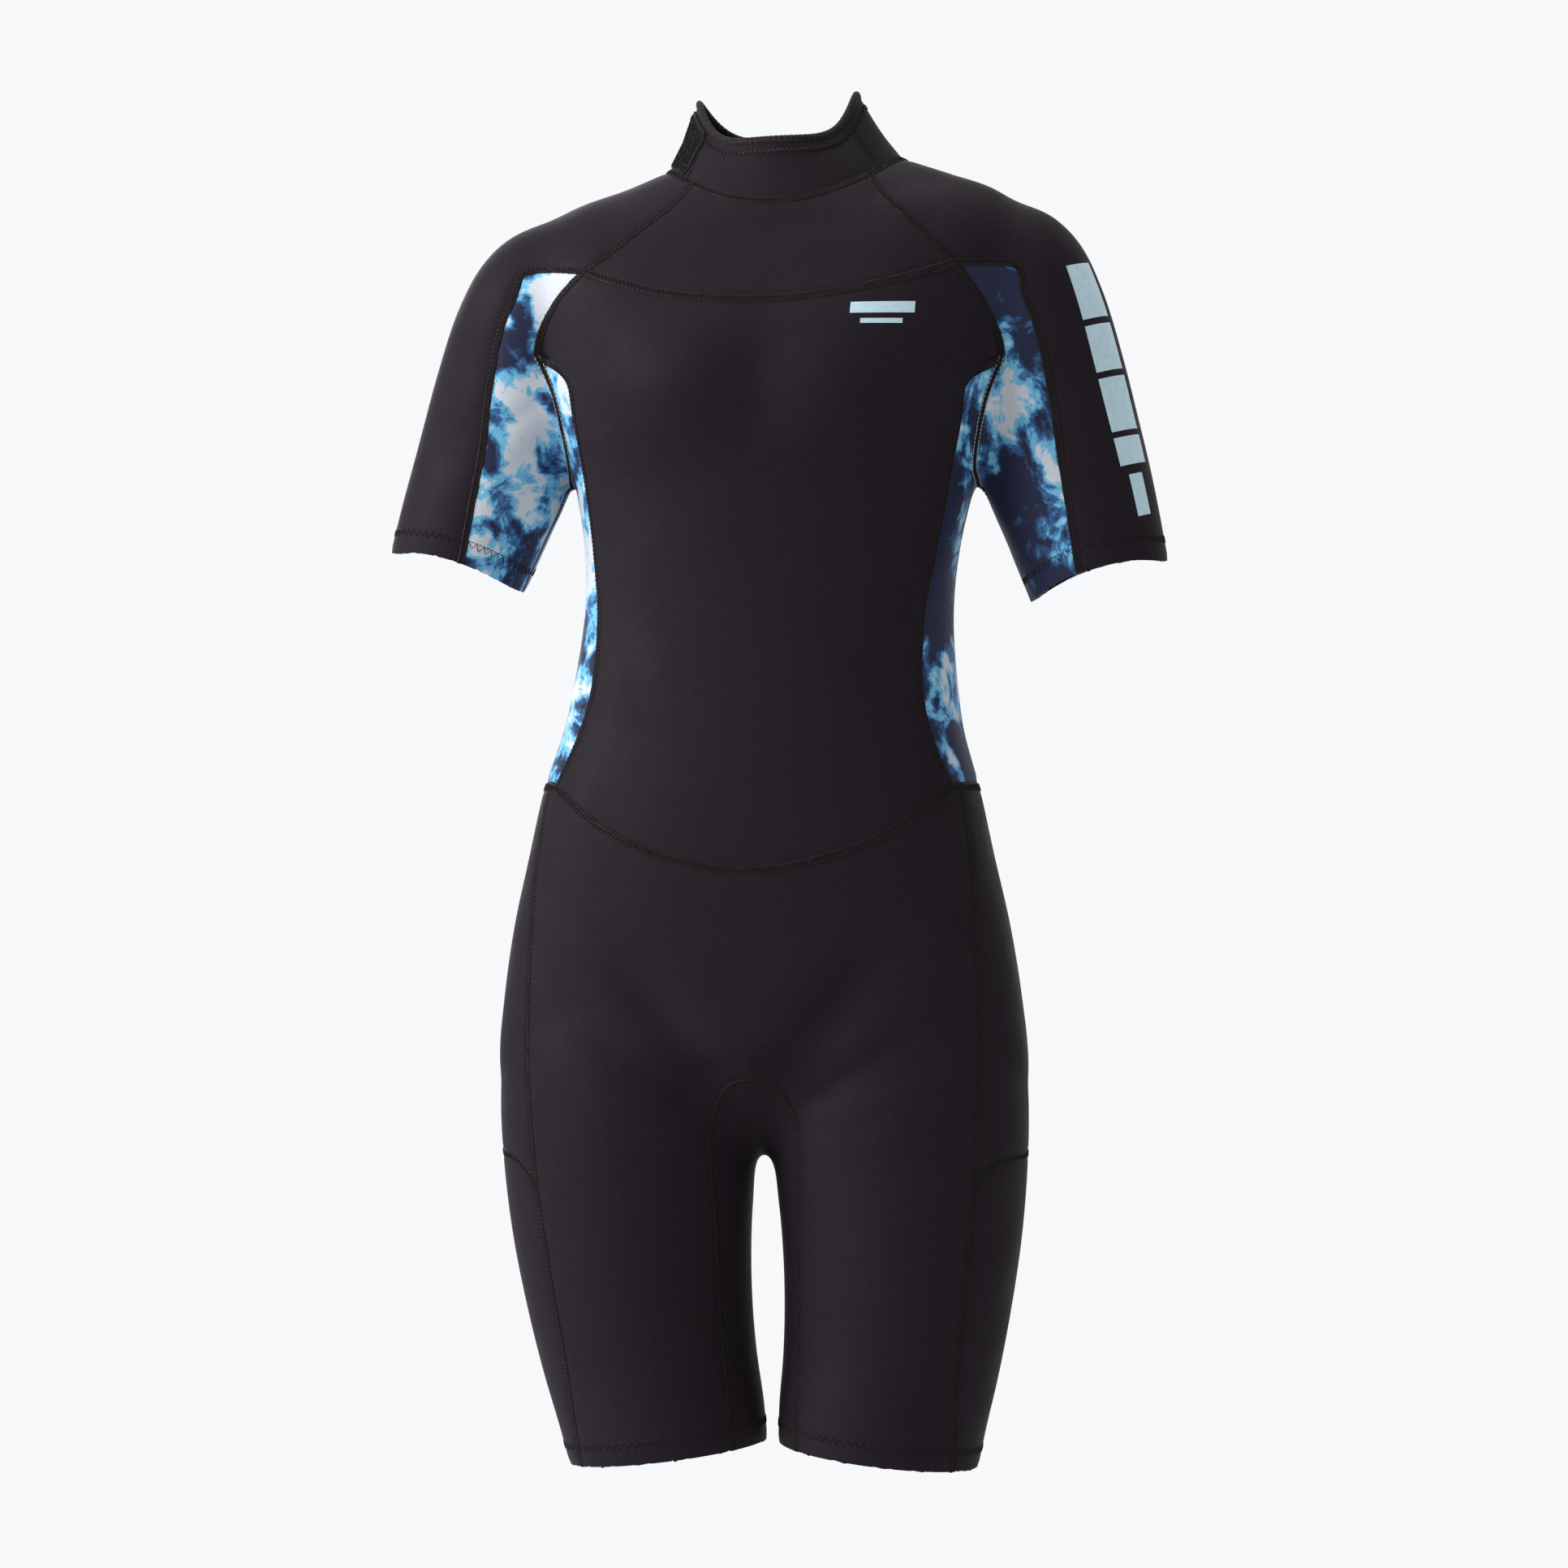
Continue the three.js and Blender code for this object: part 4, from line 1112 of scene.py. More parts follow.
def tie_dye(name, cloth):
    """The printed panels: blots of white, sky blue and navy, with more navy on the wearer's left."""
    recipe = Recipe(name)
    relief = knit(recipe)
    parts = recipe.node("ShaderNodeSeparateXYZ", {0: recipe.object}).outputs
    streak = recipe.stretch((1.0, 0.7, 0.8), (0.0, 0.6, 0.0))
    blots = recipe.noise(16.0, 2.0, 0.5, 1.1, streak)
    edges = recipe.noise(70.0, 7.0, 0.72, 0.4)
    veins = recipe.noise(26.0, 4.0, 0.6, 1.6)
    value = recipe.math("MULTIPLY", recipe.math("SUBTRACT", blots, 0.5), 1.6)
    value = recipe.math("ADD", value, recipe.math("MULTIPLY", recipe.math("SUBTRACT", edges, 0.5), 0.6))
    value = recipe.math("ADD", value, recipe.math("MULTIPLY", recipe.math("SUBTRACT", veins, 0.5), 1.0))
    side = recipe.math("MULTIPLY_ADD", parts[0], 0.65)
    side.node.inputs[2].default_value = 0.5
    value = recipe.math("ADD", value, side, clamp=True)
    stops = [
        (0.0, cloth.white), (0.33, cloth.white), (0.385, cloth.sky), (0.43, cloth.sky), (0.485, cloth.blue),
        (0.55, scaled(cloth.blue, 0.5)), (0.6, cloth.navy), (1.0, cloth.navy),
    ]
    tone = recipe.ramp(value, [(place, tuple(colour)) for place, colour in stops])
    tone = recipe.mix(recipe.math("MULTIPLY", relief, 0.12), tone, (0.02, 0.03, 0.05))
    recipe.set(Base_Color=tone, Sheen_Weight=0.05, Sheen_Roughness=0.4, Specular_IOR_Level=0.15)
    recipe.set(Roughness=recipe.ramp(recipe.noise(30.0, 3.0), [(0.3, 0.56), (0.7, 0.7)]))
    recipe.bump(recipe.noise(38.0, 4.0, 0.55), 0.0003)
    return recipe.material


def woven(name, colour, thread, roughness=0.75, depth=0.0002):
    """Woven tape: crossing threads in one colour, with painted shade between the threads and a painted
    highlight on their tops.
    """
    recipe = Recipe(name)
    waves = [
        recipe.node(
            "ShaderNodeTexWave", {"Vector": recipe.object, "Scale": 1 / (thread * 20), "Distortion": 0.4},
            bands_direction=direction,
        ).outputs["Fac"]
        for direction in ("X", "Z")
    ]
    weave = recipe.math("MAXIMUM", *waves)
    # Painted shade and highlight: the colour follows the weave's relief, darker between the threads and
    # lighter on their tops.
    tone = recipe.mix(weave, scaled(colour, 0.5), scaled(colour, 1.3))
    tone = recipe.mix(recipe.math("MULTIPLY", recipe.noise(60.0), 0.4), tone, scaled(colour, 0.7))
    recipe.set(Base_Color=tone, Roughness=roughness, Sheen_Weight=0.03, Specular_IOR_Level=0.1)
    recipe.bump(weave, depth)
    return recipe.material


def spun(name, colour):
    """Seam thread: twisted filament with a low gloss."""
    recipe = Recipe(name)
    twist = recipe.node(
        "ShaderNodeTexWave", {"Vector": recipe.object, "Scale": 180.0, "Distortion": 2.0},
        bands_direction="DIAGONAL",
    ).outputs["Fac"]
    fade = recipe.noise(120.0, 2.0)
    tone = recipe.mix(fade, scaled(colour, 0.6), scaled(colour, 1.5))
    recipe.set(Base_Color=tone, Roughness=recipe.ramp(twist, [(0.0, 0.5), (1.0, 0.7)]))
    recipe.set(Sheen_Weight=0.03, Specular_IOR_Level=0.12)
    recipe.bump(twist, 0.0001)
    return recipe.material


def pile(name, colour):
    """Loop pile: short, soft and very matt, with painted shade between the tufts and a painted highlight on
    their tops.
    """
    recipe = Recipe(name)
    tuft = recipe.noise(700.0, 3.0, 0.7)
    # Painted shade and highlight: the colour follows the tufts' relief, darker low down and lighter on the
    # raised tufts.
    tone = recipe.mix(tuft, scaled(colour, 0.4), scaled(colour, 1.8))
    recipe.set(Base_Color=tone, Roughness=0.95, Sheen_Weight=0.06, Specular_IOR_Level=0.05)
    recipe.bump(tuft, 0.0006)
    return recipe.material


def nylon(name, colour):
    """Moulded nylon: dark, with a soft gloss and fine scuffs."""
    recipe = Recipe(name)
    scuff = recipe.noise(90.0, 5.0, 0.7, vector=recipe.stretch((1.0, 1.0, 6.0)))
    recipe.set(Base_Color=recipe.mix(scuff, scaled(colour, 0.7), scaled(colour, 1.6)))
    recipe.set(Roughness=recipe.ramp(scuff, [(0.35, 0.28), (0.7, 0.48)]), Coat_Weight=0.1)
    recipe.bump(scuff, 0.00005)
    return recipe.material


def metal(name, colour):
    """Satin plated metal, brushed along its length and worn in places."""
    recipe = Recipe(name)
    brush = recipe.noise(400.0, 4.0, 0.6, vector=recipe.stretch((6.0, 6.0, 0.4)))
    wear = recipe.noise(60.0, 4.0, 0.6)
    tone = recipe.mix(recipe.ramp(wear, [(0.45, 0.0), (0.62, 1.0)]), tuple(colour), scaled(colour, 0.6))
    recipe.set(Base_Color=tone, Metallic=1.0, Roughness=recipe.ramp(brush, [(0.3, 0.26), (0.7, 0.42)]))
    recipe.bump(brush, 0.00004)
    return recipe.material


def transfer(name, colour):
    """A thin rubbery print pressed onto the cloth."""
    recipe = Recipe(name)
    crackle = recipe.noise(180.0, 5.0, 0.7)
    tone = recipe.mix(recipe.ramp(crackle, [(0.3, 0.0), (0.75, 1.0)]), tuple(colour), scaled(colour, 0.8))
    recipe.set(Base_Color=tone, Roughness=0.42, Specular_IOR_Level=0.4)
    recipe.bump(crackle, 0.00006)
    return recipe.material


# ---- Panels ----

WORK = {}  # the cut skin, which the seams and the prints follow


class WETSUIT_OT_panels(bpy.types.Operator):
    """Cut the panels from one skin"""

    bl_idname = "wetsuit.panels"
    bl_label = "Panels"

    def execute(self, context):
        cloth = context.scene.wetsuit_cloth
        skin = body_skin(cloth.grain / MM)
        cut_seams(skin)
        names = panel_names(skin)
        runs = seam_runs(skin, names)
        press_seams(skin, runs)
        WORK.update(skin=skin, names=names, runs=runs, normals=skin.normals())
        black = neoprene("Black neoprene", cloth.black)
        collar = neoprene("Collar neoprene", cloth.collar, 0.025)
        print_cloth = tie_dye("Printed neoprene", cloth)
        finishes = {"collar": (collar, "collar_neoprene"), "print": (print_cloth, "printed_neoprene")}
        WORK["finishes"] = {**finishes, "body": (black, "black_neoprene")}
        for name in sorted(set(names) - {""}):
            kind = "collar" if name.startswith("collar") else "body"
            if "print" in name or name.startswith("side_panel"):
                kind = "print"
            made = cut_panel(skin, names == name, name, cloth.thickness)
            finish(made, "suit", *WORK["finishes"][kind], name)
        return {"FINISHED"}


def press_seams(skin, runs):
    """Lets the cloth sink a little at each seam."""
    marks = np.unique(np.concatenate([run for _, run in runs]))
    points = skin.points
    gap = np.full(len(points), 1e9)
    cells = {}
    size = 8.0
    for mark in marks:
        cells.setdefault(tuple((points[mark] // size).astype(int)), []).append(mark)
    keys = (points // size).astype(int)
    near = {}
    for i, key in enumerate(map(tuple, keys)):
        if key not in near:
            around = [
                cells.get((key[0] + dx, key[1] + dy, key[2] + dz), ())
                for dx in (-1, 0, 1) for dy in (-1, 0, 1) for dz in (-1, 0, 1)
            ]
            found = [mark for group in around for mark in group]
            near[key] = points[found] if found else None
        if near[key] is not None:
            gap[i] = np.sqrt(((near[key] - points[i]) ** 2).sum(axis=1).min())
    depth = 0.7 * bump(gap, 3.2)
    skin.points = points - skin.normals() * depth[:, None]


def cut_panel(skin, mine, name, thickness):
    """One panel, as thick as the cloth."""
    triangles = skin.triangles[mine]
    used, faces = np.unique(triangles, return_inverse=True)
    made = new_object(name, lean(skin.points[used]) * MM, faces.reshape(-1, 3))
    wall = made.modifiers.new("Wall", "SOLIDIFY")
    wall.thickness = thickness
    wall.offset = -1
    apply_modifiers(made)
    soften(made)
    return made


# ---- Seams ----


def resampled(points, ups, pitch, closed=False):
    """A run of points spaced evenly, with the directions that they face."""
    if closed:
        points, ups = np.vstack([points, points[:1]]), np.vstack([ups, ups[:1]])
    gaps = np.linalg.norm(np.diff(points, axis=0), axis=1)
    place = np.concatenate([[0], np.cumsum(gaps)])
    count = max(4, int(round(place[-1] / pitch)))
    at = np.linspace(0, place[-1], count + 1)
    if closed:
        at = at[:-1]
    points, ups = (
        np.stack([np.interp(at, place, each) for each in values.T], axis=1) for values in (points, ups)
    )
    return points, unit(ups)


def calmed(points, closed, rounds=3):
    """A run of points with its small kinks taken out."""
    for _ in range(rounds):
        before, after = np.roll(points, 1, axis=0), np.roll(points, -1, axis=0)
        moved = 0.5 * points + 0.25 * (before + after)
        if not closed:
            moved[0], moved[-1] = points[0], points[-1]
        points = moved
    return points


class Seamstress:
    """Sews along runs of points on the skin."""

    def __init__(self, settings):
        self.pitch = settings.pitch / MM
        self.thread = settings.thread / MM / 2
        self.bands = Stock()
        self.threads = Stock()
        self.dots = Stock()

    def frame(self, points, ups, pitch, closed):
        """An even run with the direction across it."""
        points, ups = resampled(points, ups, pitch, closed)
        points = calmed(points, closed)
        if closed:
            tangent = unit(np.roll(points, -1, axis=0) - np.roll(points, 1, axis=0))
        else:
            tangent = unit(np.gradient(points, axis=0))
        return points, ups, unit(np.cross(tangent, ups))

    def band(self, points, ups, half, height, closed):
        """The raised band of a flatlock seam, with a groove along its middle."""
        points, ups, _ = self.frame(points, ups, 2.4, closed)
        section = np.array([
            (-half, -0.5), (-half, 0.15), (-half * 0.62, height), (0, height * 0.55), (half * 0.62, height),
            (half, 0.15), (half, -0.5),
        ])[::-1]
        self.bands.add(*sweep(points, ups, section, closed))

    def row(self, points, ups, offset, height, closed, length=None, gap=0.5, stock=None):
        """A row of short stitches beside a run."""
        length = length or self.pitch
        stock = stock or self.threads
        points, ups, across = self.frame(points, ups, length, closed)
        points = points + across * offset
        after = np.roll(points, -1, axis=0)
        r = self.thread
        section = oval(r, r * 0.8, 4)
        for i in range(len(points) - (0 if closed else 1)):
            step = after[i] - points[i]
            span = np.linalg.norm(step)
            if span < 1e-3 or span > 3 * length:
                continue
            ends = [0.02, 0.2, 0.8, 0.98 - gap / length]
            path = points[i] + np.outer(ends, step) + np.outer([-0.25, height, height, -0.25], ups[i])
            stock.add(*sweep(path, np.repeat(ups[i : i + 1], 4, axis=0), section))

    def zigzag(self, points, ups, half, height, closed, pitch=None):
        """A thread that crosses from side to side."""
        points, ups, across = self.frame(points, ups, (pitch or self.pitch) / 2, closed)
        side = np.where(np.arange(len(points)) % 2, 1.0, -1.0)[:, None]
        path = points + across * side * half + ups * height
        middle = (path[:-1] + path[1:]) / 2 + (ups[:-1] + ups[1:]) / 2 * 0.12
        mixed = np.empty((len(path) + len(middle), 3))
        mixed[0::2], mixed[1::2] = path, middle
        lifted = np.repeat(ups, 2, axis=0)[: len(mixed)]
        self.threads.add(*sweep(mixed, lifted, oval(self.thread * 0.8, self.thread * 0.7, 4)))

    def flatlock(self, points, ups, closed=False, half=2.6, height=0.75):
        """A band with a row of stitches along each side and threads across it."""
        self.band(points, ups, half, height, closed)
        self.zigzag(points, ups, half * 0.8, height * 0.95, closed)
        for offset in (-half * 0.62, half * 0.62):
            self.row(points, ups, offset, height + 0.1, closed)

    def cover(self, points, ups, closed=False, half=2.2):
        """Two rows of stitches with looping threads between, flat on the cloth."""
        self.zigzag(points, ups, half, 0.15, closed)
        for offset in (-half, half):
            self.row(points, ups, offset, 0.3, closed)

    def dotted(self, points, ups, closed=False):
        """A dark band with pale stitches showing down both sides."""
        self.band(points, ups, 2.3, 0.6, closed)
        self.zigzag(points, ups, 1.1, 0.6, closed)
        for offset in (-1.5, 1.5):
            self.row(points, ups, offset, 0.75, closed, 2.8, 1.3, self.dots)

    def rope(self, points, ups, closed=False):
        """Thick slanted stitches that lie like the strands of a rope."""
        points, ups, across = self.frame(points, ups, 3.0, closed)
        along = np.cross(ups, across)
        section = oval(0.62, 0.55, 5)
        for i in range(len(points)):
            lean_way = along[i] * 1.5 + across[i] * 1.25
            rise = np.outer((-0.2, 0.55, 0.55, -0.2), ups[i])
            path = points[i] + np.outer((-1, -0.55, 0.55, 1), lean_way) + rise
            self.threads.add(*sweep(path, np.repeat(ups[i : i + 1], 4, axis=0), section))

    def hem(self, points, ups, closed=False):
        """An open zigzag over a row of stitches."""
        self.zigzag(points, ups, 2.1, 0.3, closed, 5.2)
        self.row(points, ups, -2.3, 0.3, closed)


DOUBLE_SEAMS = ({"chest_yoke", "front_torso_panel"}, {"front_torso_panel", "shorts_front"})
WAIST_PAIRS = ({"back_panel", "seat_panel"}, {"back_panel", "hip_side"})


def kinds(pair):
    """The names of two panels without their sides."""
    return {name.replace("_left", "").replace("_right", "") for name in pair}


def level_run(skin, names, distance, where):
    """The closed lines on the suit where distance is zero, as points and the directions that they face."""
    mine = where(skin.centres()) & (names != "")
    triangles = skin.triangles[mine]
    value = distance(skin.points)
    normals = WORK["normals"]
    links, ends, ups = [], [], []
    index = {}
    for triangle in triangles:
        found = []
        for a, b in ((0, 1), (1, 2), (2, 0)):
            i, j = sorted((int(triangle[a]), int(triangle[b])))
            if (value[i] < 0) != (value[j] < 0):
                if (i, j) not in index:
                    share = value[i] / (value[i] - value[j])
                    index[i, j] = len(ends)
                    ends.append(skin.points[i] + share * (skin.points[j] - skin.points[i]))
                    ups.append(normals[i] + share * (normals[j] - normals[i]))
                found.append(index[i, j])
        if len(found) == 2:
            links.append(found)
    ends, ups = np.array(ends), unit(np.array(ups))
    return [(ends[run], ups[run]) for run in chains(links)]


def is_closed(points):
    """Whether a run ends where it starts."""
    return np.linalg.norm(points[0] - points[-1]) < 6


class WETSUIT_OT_seams(bpy.types.Operator):
    """Sew the seams and the hems"""

    bl_idname = "wetsuit.seams"
    bl_label = "Seams"

    def execute(self, context):
        settings = context.scene.wetsuit_seams
        skin, names, normals = WORK["skin"], WORK["names"], WORK["normals"]
        thread = spun("Seam thread", settings.colour)
        band_finish = spun("Seam band", scaled(settings.colour, 0.8))
        pale = spun("Pale thread", (0.3, 0.34, 0.4))
        groups = {part: Seamstress(settings) for part in ("top", "sleeve", "shorts")}
        for pair, run in WORK["runs"]:
            if "" in pair:
                continue
            points, ups = skin.points[run], normals[run]
            both = kinds(pair)
            part = "shorts" if points[:, 2].mean() < -8 else "top"
            if any("sleeve" in name for name in both):
                part = "sleeve"
            closed = run[0] == run[-1]
            if closed:
                points, ups = points[:-1], ups[:-1]
            self.sew(groups[part], both, points, ups, closed)
        self.hems(groups, skin, names)
        for part, sewn in groups.items():
            for label, stock, finish_material in (
                ("bands", sewn.bands, band_finish), ("stitches", sewn.threads, thread),
                ("pale_stitches", sewn.dots, pale),
            ):
                if stock.count:
                    made = stock.make(f"{part}_seam_{label}")
                    soften(made, 60)
                    finish(made, "suit", finish_material, "binding_tape")
        return {"FINISHED"}

    @staticmethod
    def sew(seamstress, both, points, ups, closed):
        """Chooses the seam for two panels that meet."""
        if both == {"back_panel", "side_panel"}:
            above = points[:, 2] > 13
            points, ups = points[above], ups[above]
        if both in DOUBLE_SEAMS or both in WAIST_PAIRS:
            seamstress.flatlock(points, ups, closed, 3.1, 0.95)
        elif all("print" in name or name == "side_panel" for name in both):
            seamstress.dotted(points, ups, closed)
        else:
            seamstress.flatlock(points, ups, closed)

    @staticmethod
    def hems(groups, skin, names):
        """The stitching above the cuffs and the leg hems, and below the collar's edge."""
        lines = [
            ("sleeve", lambda p: along_arm(p) - 13.5, is_sleeve),
            ("shorts", lambda p: up_leg(p) - 12.5, lambda c: c[:, 2] < -370),
            ("top", lambda p: p[:, 2] - ring_height(COLLAR_EDGE, p) + 8.5, lambda c: c[:, 2] > 400),
        ]
        for part, distance, where in lines:
            for points, ups in level_run(skin, names, distance, where):
                closed = is_closed(points)
                if closed:
                    points, ups = points[:-1], ups[:-1]
                if part == "top":
                    groups[part].rope(points, ups, closed)
                else:
                    groups[part].hem(points, ups, closed)


# ---- The collar's trim ----


def collar_point(degrees, share, outward):
    """Points on the collar: degrees round the neck, share of its height and distance outside its cloth."""
    angles = np.radians(np.asarray(degrees, float))
    share = np.asarray(share, float)[..., None]
    rings = [torso_ring(row, angles) for row in (NECK_SEAM, COLLAR_MIDDLE, COLLAR_EDGE)]
    low = rings[0] + (rings[1] - rings[0]) * share * 2
    high = rings[1] + (rings[2] - rings[1]) * (share * 2 - 1)
    out = np.stack([np.cos(angles), np.sin(angles), np.zeros_like(angles)], axis=-1)
    return np.where(share < 0.5, low, high) + out * np.asarray(outward, float)[..., None]


def slab(place, columns, rows, corner=(0.0, 0.0), edge=0.35):
    """A soft flat piece: place(u, v, w) gives its points, with w from 0 inside to 1 outside.

    corner rounds its corners, as shares of its length and its height, and edge thins its rim.
    """
    u, v = np.meshgrid(np.linspace(-1, 1, columns + 1), np.linspace(-1, 1, rows + 1), indexing="ij")
    if corner[0]:
        past = np.clip((np.abs(u) - 1 + corner[0]) / corner[0], 0, 1)
        v = v * (1 - corner[1] + corner[1] * np.sqrt(1 - past**2))
    rim = np.maximum(np.abs(u), np.abs(np.linspace(-1, 1, rows + 1))[None, :])
    thin = edge * np.clip((rim - 0.86) / 0.14, 0, 1) ** 2 / 2
    u, v = (u + 1) / 2, (v + 1) / 2
    outer = place(u, v, 1 - thin).reshape(-1, 3)
    inner = place(u, v, thin).reshape(-1, 3)
    count = len(outer)
    index = np.arange(count).reshape(columns + 1, rows + 1)
    a, b, c, d = index[:-1, :-1], index[1:, :-1], index[1:, 1:], index[:-1, 1:]
    faces = np.stack([a, b, c, d], axis=-1).reshape(-1, 4)
    rim = np.concatenate([index[:, 0], index[-1, 1:], index[-2::-1, -1], index[0, -2:0:-1]])
    after = np.roll(rim, -1)
    walls = np.stack([rim + count, after + count, after, rim], axis=1)
    return np.vstack([outer, inner]), [*faces.tolist(), *(faces[:, ::-1] + count).tolist(), *walls.tolist()]


def between(span, share):
    """A value part of the way from one end of a span to the other."""
    return span[0] + (span[1] - span[0]) * share


def collar_slab(angles, shares, outward, columns, rows, corner, edge=0.35):
    """A slab that follows the collar."""
    return slab(
        lambda u, v, w: collar_point(between(angles, u), between(shares, v), between(outward, w)),
        columns, rows, corner, edge,
    )


def facing_out(made):
    """Turns a closed piece's faces outwards."""
    select_only(made)
    bpy.ops.object.mode_set(mode="EDIT")
    bpy.ops.mesh.select_all(action="SELECT")
    bpy.ops.mesh.normals_make_consistent(inside=False)
    bpy.ops.object.mode_set(mode="OBJECT")


def collar_path(angles, shares, outward):
    """A run along the collar, with the directions that it faces."""
    points = collar_point(angles, shares, outward)
    return points, unit(collar_point(angles, shares, outward + 1.0) - points)


class WETSUIT_OT_collar(bpy.types.Operator):
    """Trim the collar: binding, loop patch, closing flap and hook"""

    bl_idname = "wetsuit.collar"
    bl_label = "Collar trim"

    def execute(self, context):
        seams = context.scene.wetsuit_seams
        self.binding(seams)
        self.loop_patch()
        self.flap(seams)
        self.hook()
        return {"FINISHED"}

    @staticmethod
    def binding(seams):
        """The rolled binding, a little puckered by its stitches."""
        angles = np.linspace(93.2, 446.8, 300)
        points, ups = collar_path(angles, np.full(300, 0.975), np.full(300, -1.5))
        pucker = 1 + 0.05 * np.sin(np.arange(300) * 2.1)
        section = oval(2.9, 2.3, 12)[None] * pucker[:, None, None]
        stock = Stock()
        stock.add(*sweep(points, ups, section))
        made = stock.make("collar_binding")
        facing_out(made)
        soften(made, 60)
        finish(made, "suit", woven("Binding tape", seams.binding, 0.0006), "binding_tape", "collar_binding")

    @staticmethod
    def loop_patch():
        """The loop patch, with its pile standing up in small loops."""
        angles, shares, outward = (128, 214), (0.06, 0.9), (0.1, 0.9)
        stock = Stock()
        stock.add(*collar_slab(angles, shares, outward, 60, 16, (0.06, 0.35)))
        made = stock.make("collar_loop_patch")
        facing_out(made)
        soften(made, 60)
        cloth = pile("Loop pile", (0.012, 0.011, 0.012))
        finish(made, "suit", cloth, "loop_pile", "collar_loop_patch")
        stock = Stock()
        spin = np.random.default_rng(7)
        section = oval(0.16, 0.16, 3)
        for _ in range(3600):
            u, v = spin.uniform(0.02, 0.98), spin.uniform(0.05, 0.95)
            angle, share = np.array([between(angles, u)]), np.array([between(shares, v)])
            base, up = collar_path(angle, share, np.array([0.8]))
            turn = spin.uniform(0, math.pi)
            side = unit(np.cross(up[0], (math.cos(turn), 0.3, math.sin(turn))))
            width, height = spin.uniform(0.3, 0.6), spin.uniform(0.4, 0.8)
            rise = np.outer((0, 1, 1, 0), up[0]) * height
            path = base[0] + np.outer((-1, -0.7, 0.7, 1), side) * width + rise
            stock.add(*sweep(path, np.repeat(np.cross(side, up), 4, axis=0), section))
        loops = stock.make("collar_loops")
        facing_out(loops)
        soften(loops, 60)
        finish(loops, "suit", cloth, "loop_pile")

    @staticmethod
    def flap(seams):
        """The flap that closes the collar, stitched round its edge."""
        angles, shares, outward = (14, 158), (0.12, 0.86), (4, 7)

        def place(u, v, w):
            sewn_down = 1 - eased_step(u, 0.0, 0.16)
            lift = between(outward, w) - sewn_down * between((3.8, 5.8), w)
            return collar_point(between(angles, u), between(shares, v), lift)

        stock = Stock()
        stock.add(*slab(place, 96, 20, (0.07, 0.45), 0.5))
        made = stock.make("collar_flap")
        facing_out(made)
        soften(made, 50)
        finish(made, "neck_flap", *WORK["finishes"]["collar"], "collar_flap")
        sewn = Seamstress(seams)
        around = np.linspace(0, 2 * math.pi, 200, endpoint=False)
        u = 0.5 + 0.475 * swell(np.cos(around), 9)
        v = 0.5 + 0.4 * swell(np.sin(around), 5)
        points, ups = collar_path(
            between(angles, u), between(shares, v), outward[1] - 5.8 * (1 - eased_step(u, 0.0, 0.16))
        )
        sewn.cover(points, ups, True, 1.2)
        stitches = sewn.threads.make("collar_flap_stitches")
        soften(stitches, 60)
        finish(stitches, "neck_flap", spun("Flap thread", seams.colour), "binding_tape")

    @staticmethod
    def hook():
        """The hook patch under the flap's free end."""
        tape = nylon("Hook tape", (0.016, 0.016, 0.018))
        stock = Stock()
        stock.add(*collar_slab((130, 156), (0.2, 0.8), (3.0, 3.7), 16, 8, (0.1, 0.3)))
        made = stock.make("collar_flap_hook")
        facing_out(made)
        finish(made, "neck_flap", tape, "hook_tape", "collar_flap_hook")
        stock = Stock()
        section = oval(0.14, 0.14, 3)
        for u in np.linspace(0.06, 0.94, 22):
            for v in np.linspace(0.08, 0.92, 15):
                angle, share = np.array([130 + 26 * u]), np.array([0.2 + 0.6 * v])
                base, up = collar_path(angle, share, np.array([3.05]))
                bend = np.outer((0, 0, 0.1, 0.3), (0, 0, 1))
                path = base[0] - np.outer((0, 0.35, 0.55, 0.45), up[0]) + bend
                stock.add(*sweep(path, np.repeat([[1.0, 0.2, 0.0]], 4, axis=0), section))
        hooks = stock.make("collar_flap_hooks")
        facing_out(hooks)
        finish(hooks, "neck_flap", tape, "hook_tape")


# ---- The zip ----


def zip_point(x, height, depth):
    """Points along the zip, at a depth under the back's outer face."""
    x, height, depth = np.broadcast_arrays(x, height, depth)
    return np.stack([x, zip_depth(height) - depth, height], axis=-1).astype(float)


def zip_slab(x, heights, depths, columns, rows, corner=(0.0, 0.0), edge=0.3):
    """A slab that follows the zip."""
    return slab(
        lambda u, v, w: zip_point(between(x, v), between(heights, u), between(depths, 1 - w)),
        rows, columns, corner, edge,
    )


